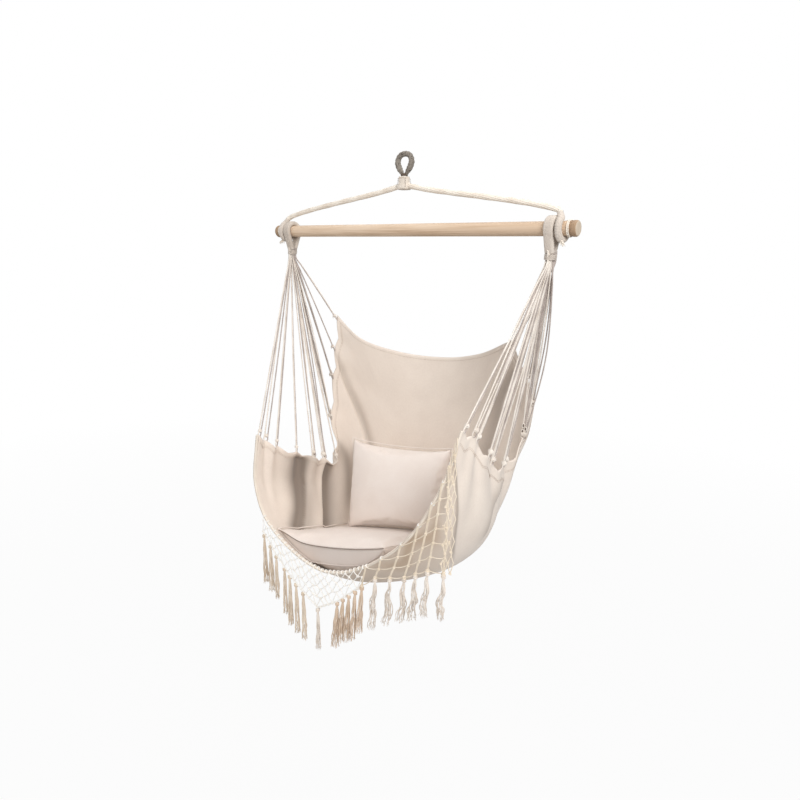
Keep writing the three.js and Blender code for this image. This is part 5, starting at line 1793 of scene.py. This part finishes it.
def seat_pad():
    shares = np.linspace(-1, 1, SEAT_STEPS)
    top = seat_grid(SEAT_STEPS)
    rims = np.maximum(np.abs(shares)[None, :], np.abs(shares)[:, None]) ** 6
    floors = np.array([[height_on(FLOOR_TREE, x, y, -DROP) for x, y, _ in row] for row in top])
    room = top[..., 2] - floors - SEAT_FLOOR_GAP
    rim_depths = seat_rim(shares[None, :], shares[:, None]) * SEAT_SIDE_SHARE
    low = top.copy()
    low[..., 2] -= between(room, np.minimum(room, rim_depths), rims)
    shape = Shape()
    slab(shape, top, low)
    pad = piece("seat_pad", shape, "seat_cloth", "seat_cushion", ["seat_cushion"])
    soften(pad, SEAT_CELL, SEAT_SWELL_CAP)
    # Painted shade: the seat cloth darkens where its surface faces sideways or down, and the lower piping is
    # darkened the same way.
    up = np.array([vertex.normal.z for vertex in pad.data.vertices])
    mark_points(pad, "side", 1 - smoothstep(up, *SEAT_SIDE_SHADE_SHARES))
    cords = Shape()
    piping_shades = []
    for shade, (grid, lift) in enumerate(zip((top, low), SEAT_PIPING_LIFTS)):
        piping(cords, grid, SEAT_PIPING_SHARE, lift)
        piping_shades += [shade] * (cords.count - len(piping_shades))
    # A dark tube along the front, just below the top piping, is a painted shadow line.
    shadow_line = Shape()
    tube(shadow_line, smooth(top[0], RIM_STEP, FRONT_STEPS) - [0, 0, SHADOW_LINE_DROP], SHADOW_LINE / 2, sides=6)
    piece("seat_shadow_line", shadow_line, "shadow_line_thread", "seat_cushion")
    mark_points(piece("seat_piping", cords, "seat_cloth", "seat_cushion"), "side", piping_shades)
    return pad


def back_pad():
    shares = np.linspace(-1, 1, BACK_STEPS)
    tl, tr, ll, lr = (np.array(corner) * SCALE for corner in BACK_CORNER_SHARES)
    width = np.linalg.norm(tr - tl)
    height = np.linalg.norm(tl - ll)
    facing = unit(np.cross(unit(tr - tl + lr - ll), unit(tl - ll + tr - lr)))
    seat_tree = grid_tree(seat_grid(LID_STEPS))
    sides = np.empty((2, BACK_STEPS, BACK_STEPS, 3))
    for row, t in enumerate(shares):
        for column, s in enumerate(shares):
            a = drawn_in(s, t, width / 2, BACK_DRAW_IN, BACK_ROUND_SHARE) / width + 0.5
            b = drawn_in(t, s, height / 2, BACK_DRAW_IN, BACK_ROUND_SHARE) / height + 0.5
            middle = between(between(ll, lr, a), between(tl, tr, a), b)
            crown = BACK_CROWN * math.sqrt(max((1 - s * s) * (1 - t * t), 0))
            hit = FLOOR_TREE.ray_cast(Vector(middle), Vector(-facing))
            room = (hit[3] if hit[0] else BACK_CROWN) - CLOTH * 2
            edge = max(abs(s), abs(t))
            gather = GATHER * math.sin(GATHER_WAVES * (s if abs(t) > abs(s) else t)) * (1 - edge)
            gather *= smoothstep(edge, *GATHER_SPAN_SHARES)
            for side, reach in enumerate((crown + gather, -min(crown, max(room, 0)))):
                x, y, z = middle + facing * reach
                least = height_on(seat_tree, x, y, -DROP * 2) + TOUCH_GAP * 3
                sides[side, row, column] = (x, y, max(z, least))
    shape = Shape()
    slab(shape, *sides)
    pad = piece("back_pad", shape, "cushion_cloth", "back_cushion", ["back_cushion"])
    soften(pad, BACK_CELL, BACK_SWELL_CAP)
    cords = Shape()
    piping(cords, sides[0], BACK_PIPING_SHARE)
    piece("back_piping", cords, "cushion_cloth", "back_cushion")
    return pad


def soften(thing, voxel, cap):
    """Remeshes a pad and swells it a little as stuffed cloth, no point moving more than the cap."""
    thing.data = thing.data.copy()
    remesh = thing.modifiers.new("cells", "REMESH")
    remesh.mode = "VOXEL"
    remesh.voxel_size = voxel * MM
    remesh.use_smooth_shade = True
    thing.modifiers.new("fairing", "SMOOTH").iterations = FAIRING_ROUNDS
    applied(thing)
    rest = np.empty(len(thing.data.vertices) * 3)
    thing.data.vertices.foreach_get("co", rest)
    settings = thing.modifiers.new("stuffing", "CLOTH").settings
    settings.use_pressure = True
    settings.uniform_pressure_force = STUFFING_PRESSURE
    settings.effector_weights.gravity = 0.0
    settings.tension_stiffness = STUFFING_STIFFNESS
    settings.compression_stiffness = STUFFING_STIFFNESS
    settings.bending_stiffness = STUFFING_BENDING
    scene = bpy.context.scene
    for number in range(1, STUFFING_FRAMES + 1):
        scene.frame_set(number)
    applied(thing)
    scene.frame_set(1)
    moved = np.empty(len(rest))
    thing.data.vertices.foreach_get("co", moved)
    shift = (moved - rest).reshape(-1, 3)
    size = np.linalg.norm(shift, axis=1, keepdims=True)
    shift *= np.minimum(1, cap * MM / np.maximum(size, NEAR_NOUGHT))
    thing.data.vertices.foreach_set("co", (rest.reshape(-1, 3) + shift).ravel())
    thing.data.update()


def applied(thing):
    """Turns a piece's modifiers into its mesh."""
    graph = bpy.context.evaluated_depsgraph_get()
    mesh = bpy.data.meshes.new_from_object(thing.evaluated_get(graph))
    mesh.polygons.foreach_set("use_smooth", np.ones(len(mesh.polygons), dtype=bool))
    material = thing.data.materials[0]
    thing.modifiers.clear()
    thing.data = mesh
    if not mesh.materials:
        mesh.materials.append(material)


# Camera, light and floor

def camera():
    a, p, r = (math.radians(angle) for angle in (CAMERA_AZIMUTH, CAMERA_PITCH, CAMERA_ROLL))
    right = Vector((math.cos(a), math.sin(a), 0))
    forward = Vector((-math.sin(a) * math.cos(p), math.cos(a) * math.cos(p), -math.sin(p)))
    up = right.cross(forward)
    right, up = right * math.cos(r) + up * math.sin(r), up * math.cos(r) - right * math.sin(r)
    data = bpy.data.cameras.new("camera")
    data.sensor_width = SENSOR
    data.lens = FOCAL_PIXELS / PICTURE_PIXELS * SENSOR
    data.clip_start = NEAR_CLIP
    thing = linked(bpy.data.objects.new("camera", data))
    turn = Matrix((right, up, -forward)).transposed().to_4x4()
    thing.matrix_world = Matrix.Translation(CAMERA_PLACE) @ turn
    bpy.context.scene.camera = thing


def lamp(name, place, size, power):
    data = bpy.data.lights.new(name, "AREA")
    data.shape = "DISK"
    data.size = size
    data.energy = power
    way = Vector(LAMP_TARGET) - Vector(place)
    thing = linked(bpy.data.objects.new(name, data))
    thing.matrix_world = Matrix.Translation(place) @ way.to_track_quat("-Z", "Y").to_matrix().to_4x4()


def seen_rays(tree):
    """1 where the camera, a reflection or clear material looks, 0 for light on other things."""
    rays = node_of(tree, "LightPath", {}).outputs
    some = combined(tree, "MAXIMUM", rays["Is Camera Ray"], rays["Is Glossy Ray"])
    return combined(tree, "MAXIMUM", some, rays["Is Transmission Ray"])


def floor():
    angles = np.linspace(0, 2 * np.pi, FLOOR_SIDES, endpoint=False)
    rim = [(math.cos(a) * FLOOR_RADIUS, math.sin(a) * FLOOR_RADIUS, FLOOR_PLACE) for a in angles]
    mesh = bpy.data.meshes.new("floor")
    mesh.from_pydata(rim, [], [tuple(range(FLOOR_SIDES))])
    thing = linked(bpy.data.objects.new("floor", mesh))
    material = bpy.data.materials.new("floor")
    tree = empty_tree(material)
    matt = node_of(tree, "BsdfDiffuse", {"Color": (FLOOR_SHADE, FLOOR_SHADE, FLOOR_SHADE, 1)})
    glow = node_of(tree, "Emission", {})
    place = node_of(tree, "TexCoord", {}).outputs["Object"]
    distance = node_of(tree, "VectorMath", {0: place}, operation="LENGTH").outputs["Value"]
    amount = spread(tree, distance, FLOOR_FADE_FROM, FLOOR_RADIUS, FLOOR_LIGHT_SHARE, 1.0)
    amount = combined(tree, "MULTIPLY", amount, seen_rays(tree))
    mix = node_of(tree, "MixShader", {"Fac": amount, 1: matt.outputs["BSDF"], 2: glow.outputs["Emission"]})
    node_of(tree, "OutputMaterial", {"Surface": mix.outputs["Shader"]})
    mesh.materials.append(material)


def world():
    sky = bpy.data.worlds.new("studio")
    bpy.context.scene.world = sky
    tree = empty_tree(sky)
    strength = spread(tree, seen_rays(tree), 0, 1, WORLD_LIGHT, 1.0)
    background = node_of(tree, "Background", {"Strength": strength, "Color": (1, 1, 1, 1)})
    node_of(tree, "OutputWorld", {"Surface": background.outputs["Background"]})


camera()
world()
floor()
for lamp_name, lamp_values in LAMPS.items():
    lamp(lamp_name, *lamp_values)
bpy.context.scene.view_settings.view_transform = "Standard"

eye_loop()
sleeve()
bar()
for side_name, side_sign in (("left", -1), ("right", 1)):
    top_rope(side_sign, side_name)
    bar_twine(side_sign, side_name)
    clew_loop(side_sign, side_name)
    fan(side_sign, side_name)
sling_cloth, sling_stitches = sling()
front_rope()
net()
for number in range(len(TASSEL_PLACE_SHARES)):
    tassel(number)
seat = seat_pad()
back = back_pad()
